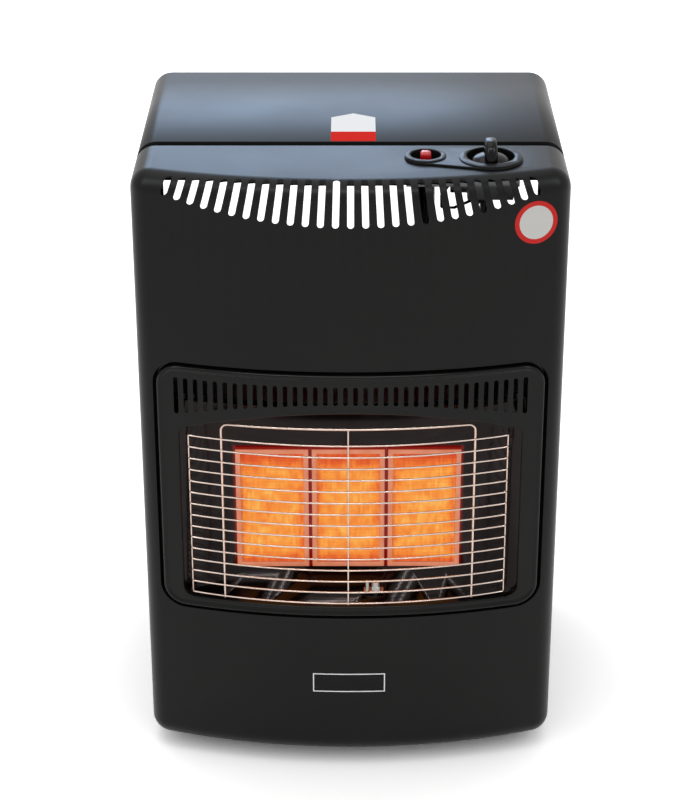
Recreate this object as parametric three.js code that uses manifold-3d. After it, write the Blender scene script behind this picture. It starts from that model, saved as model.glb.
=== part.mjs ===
// Portable gas cabinet heater: a bowed sheet-steel cabinet on four swivel castors, with a
// three-plaque radiant burner behind a wire guard and the controls on top at the right.
// Millimetres, +Z up, the front faces -Y, and the origin lies on the floor under the middle.
import * as THREE from 'three';
import { mergeVertices } from 'three/addons/utils/BufferGeometryUtils.js';
import Module from 'manifold-3d';

const wasm = await Module();
wasm.setup();

// ---- Cabinet ---------------------------------------------------------------------------
const cabinetWidth = 420;
const cabinetHeight = 633.4;
const cabinetDepth = 348.5;
const groundClearance = 12;
const bowRise = 36.8;
const sheet = 1.2;
const clearance = 0.3;
const edgeRadius = 20;
const cornerRadius = 22;
const frontCoverDepth = 112.1;
const seamGap = 11.8;
const joggleDepth = 6;
const joggleLength = 22;

// ---- Vents in the top bend --------------------------------------------------------------
const ventCount = 27;
const ventPitch = 13.1;
const ventWidth = 6.4;
const ventDrop = 43.4;
const ventSetback = 17;
const ventArchRadius = 617;
const ventBackRadius = 1060;
const ventFanDistance = 480;

// ---- Surround and window ----------------------------------------------------------------
const surroundWidth = 382;
const surroundBottom = 181.3;
const surroundSill = 10.2;
const surroundHead = 42.1;
const surroundCorner = 22;
const surroundGap = 3.5;
const surroundProud = 2.5;
const surroundDip = 2;
const surroundBead = 6;
const surroundLip = 7;
const openingFlange = 6;
const windowWidth = 340;
const windowHeight = 217.2;
const windowArchRadius = 550;
const windowCorner = 11;
const windowFlange = 9;
const louvreCount = 36;
const louvrePitch = 9.8;
const louvreWidth = 4.5;
const louvreRise = 29.3;
const louvreHeight = 19.6;
const louvreArchRadius = 757;

// ---- Wire guard -------------------------------------------------------------------------
const guardWire = 2.2;
const guardFrameWire = 2.8;
const guardRows = 15;
const guardFoot = 3.6;
const guardHeadroom = 35;
const guardWidth = 320;
const guardRecess = 5;
const guardMiddleRecess = 1;
const guardFrameWidth = 251;
const guardFrameDrop = 18.7;
const guardReturn = 14;
const innerOffset = -2.4;

// ---- Firebox and burner -----------------------------------------------------------------
const fireboxMouthMargin = 3;
const fireboxBackWidth = 268;
const fireboxFloorRise = 6.5;
const fireboxRoofDrop = 22.7;
const fireboxDepth = 64;
const fireboxFlange = 5;
const burnerCount = 3;
const trayWidth = 74;
const trayPitch = 77.4;
const trayFoot = 14.5;
const trayHeadroom = 67.7;
const trayDepth = 44;
const trayRim = 5;
const trayStand = 6;
const plaqueThickness = 13;
const plaqueRecess = 1.5;
const venturiRadius = 9;
const venturiLength = 16;
const venturiWall = 1.5;
const pilotOffset = 28;
const pilotSetback = 27;

// ---- Partition, base and rear -----------------------------------------------------------
const partitionSetback = 117;
const partitionHeight = 486;
const castorHeight = 52;
const panFlange = 26;
const rearFlangeWidth = 18;
const rearFlangeNarrow = 6;
const rearWallDrop = 120.4;
const rearFlangeRecess = 4.3;
const rearPanelHeight = 410;
const rearPanelLedge = 20;
const rearPanelEdge = 2.6;
const rearLouvreRows = 6;
const rearLouvrePitch = 16;
const rearLouvreWidth = 118;
const rearLouvreHeight = 5;
const handHoleWidth = 96;
const handHoleHeight = 26;
const bottlePadWidth = 210;
const bottlePadRise = 2;
const bottlePadSetback = 26;
const bottlePadMargin = 15;

// ---- Castors ----------------------------------------------------------------------------
const wheelRadius = 20;
const wheelWidth = 16;
const castorTrail = 14;
const castorX = 150;
const castorFrontSetback = 81;
const castorRearSetback = 49.5;
const forkSheet = 2;
const forkGap = 1.2;
const axleRadius = 3;
const stemRadius = 5;
const castorPlateSize = 44;

// ---- Controls ---------------------------------------------------------------------------
const knobX = 134;
const knobSetback = 75;
const knobRadius = 20.5;
const knobWellRadius = 23;
const knobRingRadius = 28.5;
const knobHeight = 13;
const knobFinHeight = 14;
const knobFinWidth = 13;
const buttonX = 72;
const buttonSetback = 78;
const buttonSize = 10.4;
const buttonHeight = 15;
const buttonWellRadius = 14.5;
const buttonRingRadius = 19.5;
const buttonProud = 6.4;
const escutcheonThickness = 3;
const escutcheonRim = 1.2;
const wellDepth = 14;
const wellWall = 1.4;
const valveHeight = 20;
const valveWidth = 44;
const valveDepth = 30;
const spindleRadius = 4;
const plungerRadius = 5.5;
const plungerHeight = 6;
const knobTravel = 4;
const igniterRadius = 9.5;
const igniterLength = 64;
const buttonStemRadius = 3;
const tubeRadius = 4;
const tubeLane = 9;
const outletLength = 8;
const leadRadius = 1.6;
const railRadius = 8;
const railDrop = 34;
const injectorRadius = 4;
const pilotStub = 4;

// ---- Resolution of the round forms --------------------------------------------------------
const bowSteps = 10;
const cornerSteps = 4;
const edgeSteps = 3;
const ventEndSteps = 3;
const louvreEndSteps = 2;
const wireSides = 4;
const wireBowSteps = 6;
const roundSides = 12;
const wellSides = 20;
const wheelSides = 16;

// ---- Places worked out from the sizes -----------------------------------------------------
const topZ = groundClearance + cabinetHeight;
const halfWidth = cabinetWidth / 2;
const frontY = surroundProud - (cabinetDepth + surroundProud) / 2;
const rearY = frontY + cabinetDepth;
const bowRadius = (halfWidth ** 2 + bowRise ** 2) / (2 * bowRise);
const bowCentreY = frontY + bowRadius;
const frontRimY = frontY + frontCoverDepth;
const rearRimY = frontRimY + seamGap;
const deckUnderside = topZ - sheet;
const panTop = castorHeight + sheet;
const trayFrontY = frontY + fireboxDepth - trayStand;
const rearFlangeY = rearY - rearFlangeRecess - sheet;
const rearFlangeStep = rearPanelLedge + rearPanelHeight + 10;
const rearInset = joggleDepth + sheet + clearance;
const partitionFront = frontY + partitionSetback;
const castorFrontY = frontY + castorFrontSetback;
const castorRearY = rearY - castorRearSetback;
const knobY = frontY + knobSetback;
const buttonY = frontY + buttonSetback;
const fieldDepth = surroundDip - surroundProud;
const windowBottom = surroundBottom + surroundSill;
const windowTop = windowBottom + windowHeight;
const surroundTop = windowTop + surroundHead;
const louvreTop = windowTop + louvreRise;
const guardBottom = windowBottom + guardFoot;
const guardTop = windowTop - guardHeadroom;
const guardPitch = (guardTop - guardBottom) / (guardRows - 1);
const guardFrameTop = windowTop - guardFrameDrop;
const fireboxBackBottom = windowBottom + fireboxFloorRise;
const fireboxBackTop = windowTop - fireboxRoofDrop;
const trayBottom = windowBottom + trayFoot;
const trayTop = windowTop - trayHeadroom;

const paints = {
  cabinet: { color: 0x1d1d1c, roughness: 0.42, metalness: 0.25 },
  insert: { color: 0x232221, roughness: 0.35, metalness: 0.2 },
  plastic: { color: 0x111112, roughness: 0.3, metalness: 0 },
  red: { color: 0xc4141c, roughness: 0.3, metalness: 0 },
  wire: { color: 0xd9d4cf, roughness: 0.25, metalness: 1 },
  zinc: { color: 0x9a9c9e, roughness: 0.45, metalness: 0.9 },
  reflector: { color: 0x5c4a42, roughness: 0.35, metalness: 0.8 },
  tray: { color: 0xc98660, roughness: 0.6, metalness: 0.3 },
  ceramic: { color: 0xf0a348, roughness: 0.9, metalness: 0 },
  brass: { color: 0xb28c3e, roughness: 0.4, metalness: 0.9 },
  aluminium: { color: 0xa9aba8, roughness: 0.5, metalness: 0.8 },
  rubber: { color: 0x19191a, roughness: 0.85, metalness: 0 },
};

const group = new THREE.Group();

// ---- Solids -------------------------------------------------------------------------------

function toSolid(geometry) {
  const bare = geometry.clone();
  bare.deleteAttribute('normal');
  bare.deleteAttribute('uv');
  const merged = mergeVertices(bare, 1e-4);
  return new wasm.Manifold(new wasm.Mesh({
    numProp: 3,
    vertProperties: new Float32Array(merged.attributes.position.array),
    triVerts: new Uint32Array(merged.index.array),
  }));
}

function toGeometry(solid) {
  const mesh = solid.getMesh();
  const geometry = new THREE.BufferGeometry();
  geometry.setAttribute('position', new THREE.BufferAttribute(new Float32Array(mesh.vertProperties), 3));
  geometry.setIndex(new THREE.BufferAttribute(new Uint32Array(mesh.triVerts), 1));
  geometry.computeVertexNormals();
  return geometry;
}

function addPart(name, solid, paint) {
  const mesh = new THREE.Mesh(toGeometry(solid), new THREE.MeshStandardMaterial(paints[paint]));
  mesh.name = name;
  group.add(mesh);
  return mesh;
}

function join(...solids) {
  return solids.reduce((whole, solid) => whole.add(solid));
}

function signedVolume(points, index) {
  let volume = 0;
  for (let i = 0; i < index.length; i += 3) {
    const [a, b, c] = [points[index[i]], points[index[i + 1]], points[index[i + 2]]];
    volume += a.dot(b.clone().cross(c)) / 6;
  }
  return volume;
}

// A solid from a closed skin, with its triangles turned to face outwards.
function closedSolid(points, index) {
  if (signedVolume(points, index) < 0) {
    for (let i = 0; i < index.length; i += 3) {
      [index[i], index[i + 1]] = [index[i + 1], index[i]];
    }
  }
  const geometry = new THREE.BufferGeometry();
  geometry.setAttribute('position', new THREE.Float32BufferAttribute(points.flatMap((p) => p.toArray()), 3));
  geometry.setIndex(index);
  return toSolid(geometry);
}

// A closed solid through rings of equal count; flatten turns an end ring into a flat outline.
function loft(rings, flatten) {
  const count = rings[0].length;
  const points = rings.flat();
  const index = [];
  for (let ring = 0; ring < rings.length - 1; ring += 1) {
    for (let i = 0; i < count; i += 1) {
      const a = ring * count + i;
      const b = ring * count + ((i + 1) % count);
      index.push(a, b, b + count, a, b + count, a + count);
    }
  }
  const cap = (start, flip) => {
    const outline = points.slice(start, start + count).map(flatten);
    for (const [a, b, c] of THREE.ShapeUtils.triangulateShape(outline, [])) {
      index.push(...(flip ? [start + a, start + c, start + b] : [start + a, start + b, start + c]));
    }
  };
  const clockwise = THREE.ShapeUtils.isClockWise(points.slice(0, count).map(flatten));
  cap(0, !clockwise);
  cap(points.length - count, clockwise);
  return closedSolid(points, index);
}

const alongXZ = (p) => new THREE.Vector2(p.x, p.z);
const alongXY = (p) => new THREE.Vector2(p.x, p.y);

function box(minX, maxX, minY, maxY, minZ, maxZ) {
  const geometry = new THREE.BoxGeometry(maxX - minX, maxY - minY, maxZ - minZ);
  geometry.translate((minX + maxX) / 2, (minY + maxY) / 2, (minZ + maxZ) / 2);
  return toSolid(geometry);
}

function rod(radius, minZ, maxZ, x, y, sides = roundSides) {
  const geometry = new THREE.CylinderGeometry(radius, radius, maxZ - minZ, sides);
  geometry.rotateX(Math.PI / 2);
  geometry.translate(x, y, (minZ + maxZ) / 2);
  return toSolid(geometry);
}

function rodAlongX(radius, minX, maxX, y, z, sides = roundSides) {
  const geometry = new THREE.CylinderGeometry(radius, radius, maxX - minX, sides);
  geometry.rotateZ(Math.PI / 2);
  geometry.translate((minX + maxX) / 2, y, z);
  return toSolid(geometry);
}

function rodAlongY(radius, minY, maxY, x, z, sides = roundSides) {
  const geometry = new THREE.CylinderGeometry(radius, radius, maxY - minY, sides);
  geometry.translate(x, (minY + maxY) / 2, z);
  return toSolid(geometry);
}

// A turned solid from [radius, z] pairs that start and end on the axis.
function turned(profile, x, y, sides = 24) {
  const geometry = new THREE.LatheGeometry(profile.map(([r, z]) => new THREE.Vector2(r, z)), sides);
  geometry.rotateX(Math.PI / 2);
  geometry.translate(x, y, 0);
  return toSolid(geometry);
}

// A round bar along a path of points, with its ends closed.
function bar(points, radius, sides, steps) {
  const path = points.length === 2
    ? new THREE.LineCurve3(points[0], points[1])
    : new THREE.CatmullRomCurve3(points, false, 'catmullrom', 0.4);
  const section = new THREE.Shape();
  for (let i = 0; i < sides; i += 1) {
    const angle = (2 * Math.PI * i) / sides;
    const [x, y] = [radius * Math.cos(angle), radius * Math.sin(angle)];
    if (i === 0) section.moveTo(x, y);
    else section.lineTo(x, y);
  }
  section.closePath();
  return toSolid(new THREE.ExtrudeGeometry(section, { steps, bevelEnabled: false, extrudePath: path }));
}

// A flat outline in X and Z, carried along Y.
function prismAlongY(shape, minY, maxY, curveSegments = cornerSteps) {
  const geometry = new THREE.ExtrudeGeometry(shape, {
    depth: maxY - minY, bevelEnabled: false, curveSegments, steps: 1,
  });
  geometry.rotateX(Math.PI / 2);
  geometry.translate(0, maxY, 0);
  return toSolid(geometry);
}

// A flat outline in X and Y, carried along Z.
function prismAlongZ(shape, minZ, maxZ, curveSegments = cornerSteps) {
  const geometry = new THREE.ExtrudeGeometry(shape, {
    depth: maxZ - minZ, bevelEnabled: false, curveSegments, steps: 1,
  });
  geometry.translate(0, 0, minZ);
  return toSolid(geometry);
}

function roundedRectangle(minX, maxX, minY, maxY, radius) {
  const shape = new THREE.Shape();
  shape.moveTo(minX + radius, minY);
  shape.lineTo(maxX - radius, minY);
  shape.absarc(maxX - radius, minY + radius, radius, -Math.PI / 2, 0, false);
  shape.lineTo(maxX, maxY - radius);
  shape.absarc(maxX - radius, maxY - radius, radius, 0, Math.PI / 2, false);
  shape.lineTo(minX + radius, maxY);
  shape.absarc(minX + radius, maxY - radius, radius, Math.PI / 2, Math.PI, false);
  shape.lineTo(minX, minY + radius);
  shape.absarc(minX + radius, minY + radius, radius, Math.PI, 1.5 * Math.PI, false);
  return shape;
}

function stadium(x, width, start, end, roundStart, roundEnd) {
  const r = width / 2;
  const shape = new THREE.Shape();
  shape.moveTo(x - r, start + (roundStart ? r : 0));
  if (roundStart) shape.absarc(x, start + r, r, Math.PI, 2 * Math.PI, false);
  else shape.lineTo(x + r, start);
  shape.lineTo(x + r, end - (roundEnd ? r : 0));
  if (roundEnd) shape.absarc(x, end - r, r, 0, Math.PI, false);
  else shape.lineTo(x - r, end);
  shape.closePath();
  return shape;
}

// How far a circle's arc falls away from its crown at a distance from the middle.
const arcFall = (radius, distance) => radius - Math.sqrt(radius ** 2 - distance ** 2);
const bowY = (x, depth = 0) => bowCentreY - Math.sqrt((bowRadius - depth) ** 2 - x ** 2);

// ---- Cabinet outlines -----------------------------------------------------------------------

const filletX = halfWidth - cornerRadius;
const filletY = bowCentreY - Math.sqrt((bowRadius - cornerRadius) ** 2 - filletX ** 2);
const cornerTurn = Math.atan2(filletY - bowCentreY, filletX);

// Points of the bowed front from right to left, at a depth behind its face.
function bowPoints(depth) {
  const halfTurn = cornerTurn + Math.PI / 2;
  const reach = bowRadius - depth;
  return Array.from({ length: bowSteps + 1 }, (_, i) => {
    const angle = -Math.PI / 2 + halfTurn * (1 - (2 * i) / bowSteps);
    return [reach * Math.cos(angle), bowCentreY + reach * Math.sin(angle)];
  });
}

// The plan of the front, drawn in by an inset all round, from the rear right to the rear left.
function frontPlan(inset, backY) {
  const radius = cornerRadius - inset;
  const right = [];
  for (let i = 0; i <= cornerSteps; i += 1) {
    const angle = (cornerTurn * i) / cornerSteps;
    right.push([filletX + radius * Math.cos(angle), filletY + radius * Math.sin(angle)]);
  }
  const bow = bowPoints(inset).slice(1, -1);
  const left = right.map(([x, y]) => [-x, y]).reverse();
  const outline = [[halfWidth - inset, backY], ...right, ...bow, ...left, [inset - halfWidth, backY]];
  return outline.map(([x, y]) => new THREE.Vector2(x, y));
}

function planShape(inset, backY) {
  return new THREE.Shape(frontPlan(inset, backY));
}

// The drawn front pan as a full solid: rounded over at the top and under at the bottom.
function panSolid(inset, backY) {
  const radius = edgeRadius - inset;
  const levels = [];
  for (let i = 0; i <= edgeSteps; i += 1) {
    const angle = (Math.PI / 2) * (1 - i / edgeSteps);
    levels.push([radius * (1 - Math.cos(angle)), groundClearance + inset + radius * (1 - Math.sin(angle))]);
  }
  for (let i = 0; i <= edgeSteps; i += 1) {
    const angle = (Math.PI / 2) * (i / edgeSteps);
    levels.push([radius * (1 - Math.cos(angle)), topZ - inset - radius * (1 - Math.sin(angle))]);
  }
  const rings = levels.map(([extra, z]) => frontPlan(inset + extra, backY)
    .map((p) => new THREE.Vector3(p.x, p.y, z)));
  return loft(rings, alongXY);
}

// The outline of the folded rear cover seen from the front: an upside-down U, filled.
function hoodShape(inset, bottomZ) {
  const half = halfWidth - inset;
  const top = topZ - inset;
  const radius = edgeRadius - inset;
  const shape = new THREE.Shape();
  shape.moveTo(-half, bottomZ);
  shape.lineTo(half, bottomZ);
  shape.lineTo(half, top - radius);
  shape.absarc(half - radius, top - radius, radius, 0, Math.PI / 2, false);
  shape.lineTo(radius - half, top);
  shape.absarc(radius - half, top - radius, radius, Math.PI / 2, Math.PI, false);
  shape.closePath();
  return shape;
}

function hoodBlock(inset, minY, maxY, bottomZ) {
  return prismAlongY(hoodShape(inset, bottomZ), minY, maxY, edgeSteps);
}

// A sheet that follows the bow between two depths behind the cabinet's front.
function bowSheet(frontDepth, backDepth, minZ, maxZ) {
  const outline = [...bowPoints(frontDepth).reverse(), ...bowPoints(backDepth)];
  return prismAlongZ(new THREE.Shape(outline.map(([x, y]) => new THREE.Vector2(x, y))), minZ, maxZ);
}

const surroundOutline = (grow) => roundedRectangle(
  -surroundWidth / 2 - grow, surroundWidth / 2 + grow,
  surroundBottom - grow, surroundTop + grow, surroundCorner + grow,
);

// The surround's outline as points, with one at each facet of the bow along its long edges.
function surroundPoints(grow) {
  const halfX = surroundWidth / 2 - surroundCorner;
  const facets = bowPoints(0).map(([x]) => x).filter((x) => Math.abs(x) < halfX - 2);
  const radius = surroundCorner + grow;
  const corner = (x, z, start) => Array.from({ length: cornerSteps + 1 }, (_, i) => {
    const angle = start + (Math.PI / 2) * (i / cornerSteps);
    return [x + radius * Math.cos(angle), z + radius * Math.sin(angle)];
  });
  const [lowZ, highZ] = [surroundBottom + surroundCorner, surroundTop - surroundCorner];
  return [
    ...corner(halfX, lowZ, -Math.PI / 2), ...corner(halfX, highZ, 0),
    ...facets.map((x) => [x, surroundTop + grow]),
    ...corner(-halfX, highZ, Math.PI / 2), ...corner(-halfX, lowZ, Math.PI),
    ...facets.map((x) => [-x, surroundBottom - grow]),
  ];
}

// A closed ring on the bow: a section of [inwards, depth] pairs carried round the surround's outline.
function bowRing(section) {
  const rings = section.map(([inwards, depth]) => surroundPoints(-inwards)
    .map(([x, z]) => new THREE.Vector3(x, bowY(x, depth), z)));
  const count = rings[0].length;
  const points = rings.flat();
  const index = [];
  for (let ring = 0; ring < rings.length; ring += 1) {
    const next = (ring + 1) % rings.length;
    for (let i = 0; i < count; i += 1) {
      const after = (i + 1) % count;
      const [a, b, c, d] = [ring * count + i, ring * count + after, next * count + after, next * count + i];
      index.push(a, b, c, a, c, d);
    }
  }
  return closedSolid(points, index);
}

// The firebox window: straight sides and sill, and an arched head.
function windowShape(grow) {
  const half = windowWidth / 2 + grow;
  const bottom = windowBottom - grow;
  const top = windowTop + grow;
  const radius = windowCorner + grow;
  const archRadius = windowArchRadius + grow;
  const shoulder = top - arcFall(archRadius, half - radius);
  const shape = new THREE.Shape();
  shape.moveTo(radius - half, bottom);
  shape.lineTo(half - radius, bottom);
  shape.absarc(half - radius, bottom + radius, radius, -Math.PI / 2, 0, false);
  shape.lineTo(half, shoulder - radius);
  shape.absarc(half - radius, shoulder - radius, radius, 0, Math.PI / 2, false);
  for (let i = 1; i < bowSteps; i += 1) {
    const x = (half - radius) * (1 - (2 * i) / bowSteps);
    shape.lineTo(x, top - arcFall(archRadius, x));
  }
  shape.lineTo(radius - half, shoulder);
  shape.absarc(radius - half, shoulder - radius, radius, Math.PI / 2, Math.PI, false);
  shape.lineTo(-half, bottom + radius);
  shape.absarc(radius - half, bottom + radius, radius, Math.PI, 1.5 * Math.PI, false);
  return shape;
}

// ---- Covers -----------------------------------------------------------------------------------

// One vent over the bend: a round-ended cut in the deck and one down the face, leaning outwards.
function ventCut(index) {
  const x = (index - (ventCount - 1) / 2) * ventPitch;
  const lean = x / ventFanDistance;
  const backY = frontY + ventSetback + arcFall(ventBackRadius, x);
  const bottomZ = topZ - ventDrop + arcFall(ventArchRadius, x);
  const reach = frontY - sheet;
  const deckCut = prismAlongZ(
    stadium(x, ventWidth, reach, backY, false, true), topZ - edgeRadius / 2, topZ + sheet, ventEndSteps,
  );
  const faceEnd = bowY(x) + edgeRadius / 2;
  const faceCut = prismAlongY(
    stadium(x, ventWidth, bottomZ, topZ + sheet, true, false), reach, faceEnd, ventEndSteps,
  );
  return join(deckCut, faceCut).transform([1, 0, 0, 0, 0, 1, 0, 0, -lean, 0, 1, 0, lean * topZ, 0, 0, 1]);
}

// The two rounds of the control plate and the tangents that join them, seen from above.
function escutcheonShape(grow) {
  const big = knobRingRadius + grow;
  const small = buttonRingRadius + grow;
  const apart = Math.hypot(knobX - buttonX, knobY - buttonY);
  const heading = Math.atan2(buttonY - knobY, buttonX - knobX);
  const spread = Math.acos((big - small) / apart);
  const shape = new THREE.Shape();
  shape.absarc(knobX, knobY, big, heading + spread, heading - spread + 2 * Math.PI, false);
  shape.absarc(buttonX, buttonY, small, heading - spread, heading + spread, false);
  shape.closePath();
  return shape;
}

function makeFrontCover() {
  let cover = panSolid(0, frontRimY);
  cover = cover.subtract(panSolid(sheet, frontRimY - sheet));
  const rimInset = joggleDepth - clearance;
  cover = cover.subtract(prismAlongY(
    hoodShape(rimInset, groundClearance - 1), frontRimY - 2 * sheet, frontRimY + 1, edgeSteps,
  ));
  cover = cover.subtract(prismAlongZ(
    planShape(edgeRadius + sheet - 0.2, frontRimY + 1), groundClearance - 1, groundClearance + 2 * sheet,
  ));
  const behind = frontY + bowRise + edgeRadius;
  const opening = (grow) => prismAlongY(surroundOutline(surroundGap + grow), frontY - 1, behind);
  const flange = opening(sheet)
    .intersect(bowSheet(sheet / 2, openingFlange, surroundBottom - edgeRadius, surroundTop + edgeRadius));
  cover = cover.add(flange).subtract(opening(0));
  for (let i = 0; i < ventCount; i += 1) cover = cover.subtract(ventCut(i));
  for (const [x, y, radius] of [
    [knobX, knobY, knobWellRadius + wellWall], [buttonX, buttonY, buttonWellRadius + wellWall],
  ]) {
    cover = cover.subtract(rod(radius + clearance, deckUnderside - 1, topZ + 1, x, y, wellSides));
  }
  addPart('front_cover', cover, 'cabinet');
}

// One folded sheet: a joggled tongue under the front cover, the hood, a turned-down back wall and side flanges.
function makeRearCover() {
  const below = groundClearance - 1;
  const tongueBottom = groundClearance + edgeRadius + clearance;
  const outer = join(
    hoodBlock(0, rearRimY, rearY, groundClearance),
    hoodBlock(joggleDepth, rearRimY - joggleLength, rearRimY + sheet / 2, tongueBottom),
  );
  const way = (inset, bottom) => box(
    inset - halfWidth, halfWidth - inset, rearFlangeY - sheet, rearY + 1, bottom, topZ - rearWallDrop,
  );
  const hollows = join(
    hoodBlock(sheet, rearRimY + sheet, rearFlangeY, below),
    hoodBlock(joggleDepth + sheet, rearRimY - joggleLength - 1, rearRimY + 2 * sheet, below),
    way(rearFlangeWidth, below),
    way(rearFlangeNarrow, rearFlangeStep),
    hoodBlock(sheet, rearFlangeY + sheet, rearY + 2, below),
  );
  addPart('rear_cover', outer.subtract(hollows), 'cabinet');
}

function makeRearPanel() {
  const half = halfWidth - sheet - 2 * clearance;
  const bottom = rearPanelLedge + clearance;
  const frontFace = rearFlangeY + sheet + clearance;
  const outline = (grow) => roundedRectangle(
    -half - grow, half + grow, bottom - grow, bottom + rearPanelHeight + grow, 4 + grow,
  );
  const plate = prismAlongY(outline(0), frontFace, frontFace + sheet);
  const edge = prismAlongY(outline(0), frontFace, frontFace + rearPanelEdge)
    .subtract(prismAlongY(outline(-sheet), frontFace - 1, frontFace + rearPanelEdge + 1));
  let panel = join(plate, edge);
  for (const side of [-1, 1]) {
    for (let row = 0; row < rearLouvreRows; row += 1) {
      const z = bottom + rearPanelHeight / 2 + (row - (rearLouvreRows - 1) / 2) * rearLouvrePitch;
      const middle = side * (half / 2);
      panel = panel.subtract(prismAlongY(roundedRectangle(
        middle - rearLouvreWidth / 2, middle + rearLouvreWidth / 2,
        z - rearLouvreHeight / 2, z + rearLouvreHeight / 2, rearLouvreHeight / 2 - 0.1,
      ), frontFace - 1, frontFace + sheet + 1, 1));
    }
  }
  const handTop = bottom + rearPanelHeight - handHoleHeight;
  panel = panel.subtract(prismAlongY(roundedRectangle(
    -handHoleWidth / 2, handHoleWidth / 2, handTop - handHoleHeight, handTop, handHoleHeight / 2 - 0.1,
  ), frontFace - 1, frontFace + sheet + 1));
  addPart('rear_panel', panel, 'cabinet');
}

function makeBasePan() {
  const joint = rearRimY + sheet + clearance;
  const sideInset = sheet + clearance;
  const rear = rearFlangeY - clearance;
  const inner = halfWidth - rearFlangeWidth - clearance;
  const front = (inset, bottom, top) => prismAlongZ(planShape(rearInset + inset, joint + 1), bottom, top);
  const back = (inset, bottom, top) => box(
    sideInset + inset - halfWidth, halfWidth - sideInset - inset, joint, rear - inset, bottom, top,
  );
  const bottom = panTop - panFlange;
  const outer = join(front(0, bottom, panTop), back(0, bottom, panTop));
  const hollow = join(front(sheet, bottom - 1, castorHeight), back(sheet, bottom - 1, castorHeight));
  let pan = outer.subtract(hollow);
  const apron = box(-inner, inner, rear - sheet, rear, rearPanelLedge - sheet, bottom + sheet);
  const ledge = box(-inner, inner, rear - sheet, rearY - clearance, rearPanelLedge - sheet, rearPanelLedge);
  const pad = (inset, from, to) => box(
    inset - bottlePadWidth / 2, bottlePadWidth / 2 - inset,
    partitionFront + bottlePadSetback + inset, rear - bottlePadMargin - inset, from, to,
  );
  pan = join(pan, apron, ledge, pad(0, castorHeight + sheet / 2, panTop + bottlePadRise))
    .subtract(pad(sheet, castorHeight - 1, panTop + bottlePadRise - sheet));
  addPart('base_pan', pan, 'cabinet');
}

function makePartition() {
  const half = halfWidth - rearInset;
  const bottom = panTop + clearance;
  const foot = 12;
  const sideFlange = 12;
  const plate = box(-half, half, partitionFront, partitionFront + sheet, bottom, bottom + partitionHeight);
  const sole = box(-half, half, partitionFront, partitionFront + foot, bottom, bottom + sheet);
  const top = bottom + partitionHeight;
  const head = box(-half, half, partitionFront, partitionFront + foot, top - sheet, top);
  const sides = [-1, 1].map((side) => box(
    Math.min(side * half, side * (half - sheet)), Math.max(side * half, side * (half - sheet)),
    partitionFront, partitionFront + sideFlange, bottom, bottom + partitionHeight,
  ));
  addPart('partition_panel', join(plate, sole, head, ...sides), 'zinc');
}

// ---- Surround and guard -------------------------------------------------------------------------

// A pan with a rolled edge and a slightly sunk field, held by its lip behind the opening's flange.
function makeSurround() {
  const far = frontY + bowRise + fireboxDepth;
  const near = frontY - surroundProud - 1;
  const low = surroundBottom - 1;
  const high = surroundTop + 1;
  const seat = openingFlange + clearance;
  const fieldBack = fieldDepth + sheet;
  const overlap = 0.02;
  const edge = bowRing([
    [0, seat], [0, 0], [surroundBead * 0.12, -surroundProud * 0.75], [surroundBead * 0.4, -surroundProud],
    [surroundBead * 0.75, (fieldDepth - surroundProud) / 2], [surroundBead, fieldDepth - overlap],
    [surroundBead, fieldBack + overlap], [2 * sheet, fieldBack + overlap], [sheet, fieldBack + sheet],
    [sheet, seat + sheet], [-surroundLip, seat + sheet], [-surroundLip, seat],
  ]);
  const field = prismAlongY(surroundOutline(-surroundBead * 0.9), near, far)
    .intersect(bowSheet(fieldDepth, fieldBack, low, high));
  const windowWall = prismAlongY(windowShape(sheet), near, far)
    .intersect(bowSheet(fieldDepth, fieldDepth + windowFlange, low, high));
  let surround = join(field, windowWall).subtract(prismAlongY(windowShape(0), near - 1, far + 1));
  for (let i = 0; i < louvreCount; i += 1) {
    const x = (i - (louvreCount - 1) / 2) * louvrePitch;
    const bottom = louvreTop - louvreHeight - arcFall(louvreArchRadius, x);
    const cut = stadium(x, louvreWidth, bottom, louvreTop, true, true);
    surround = surround.subtract(prismAlongY(cut, near, far, louvreEndSteps));
  }
  addPart('surround', surround.add(edge), 'insert');
}

const guardPoint = (x, z, depth) => new THREE.Vector3(x + innerOffset, bowY(x, depth), z);

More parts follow.
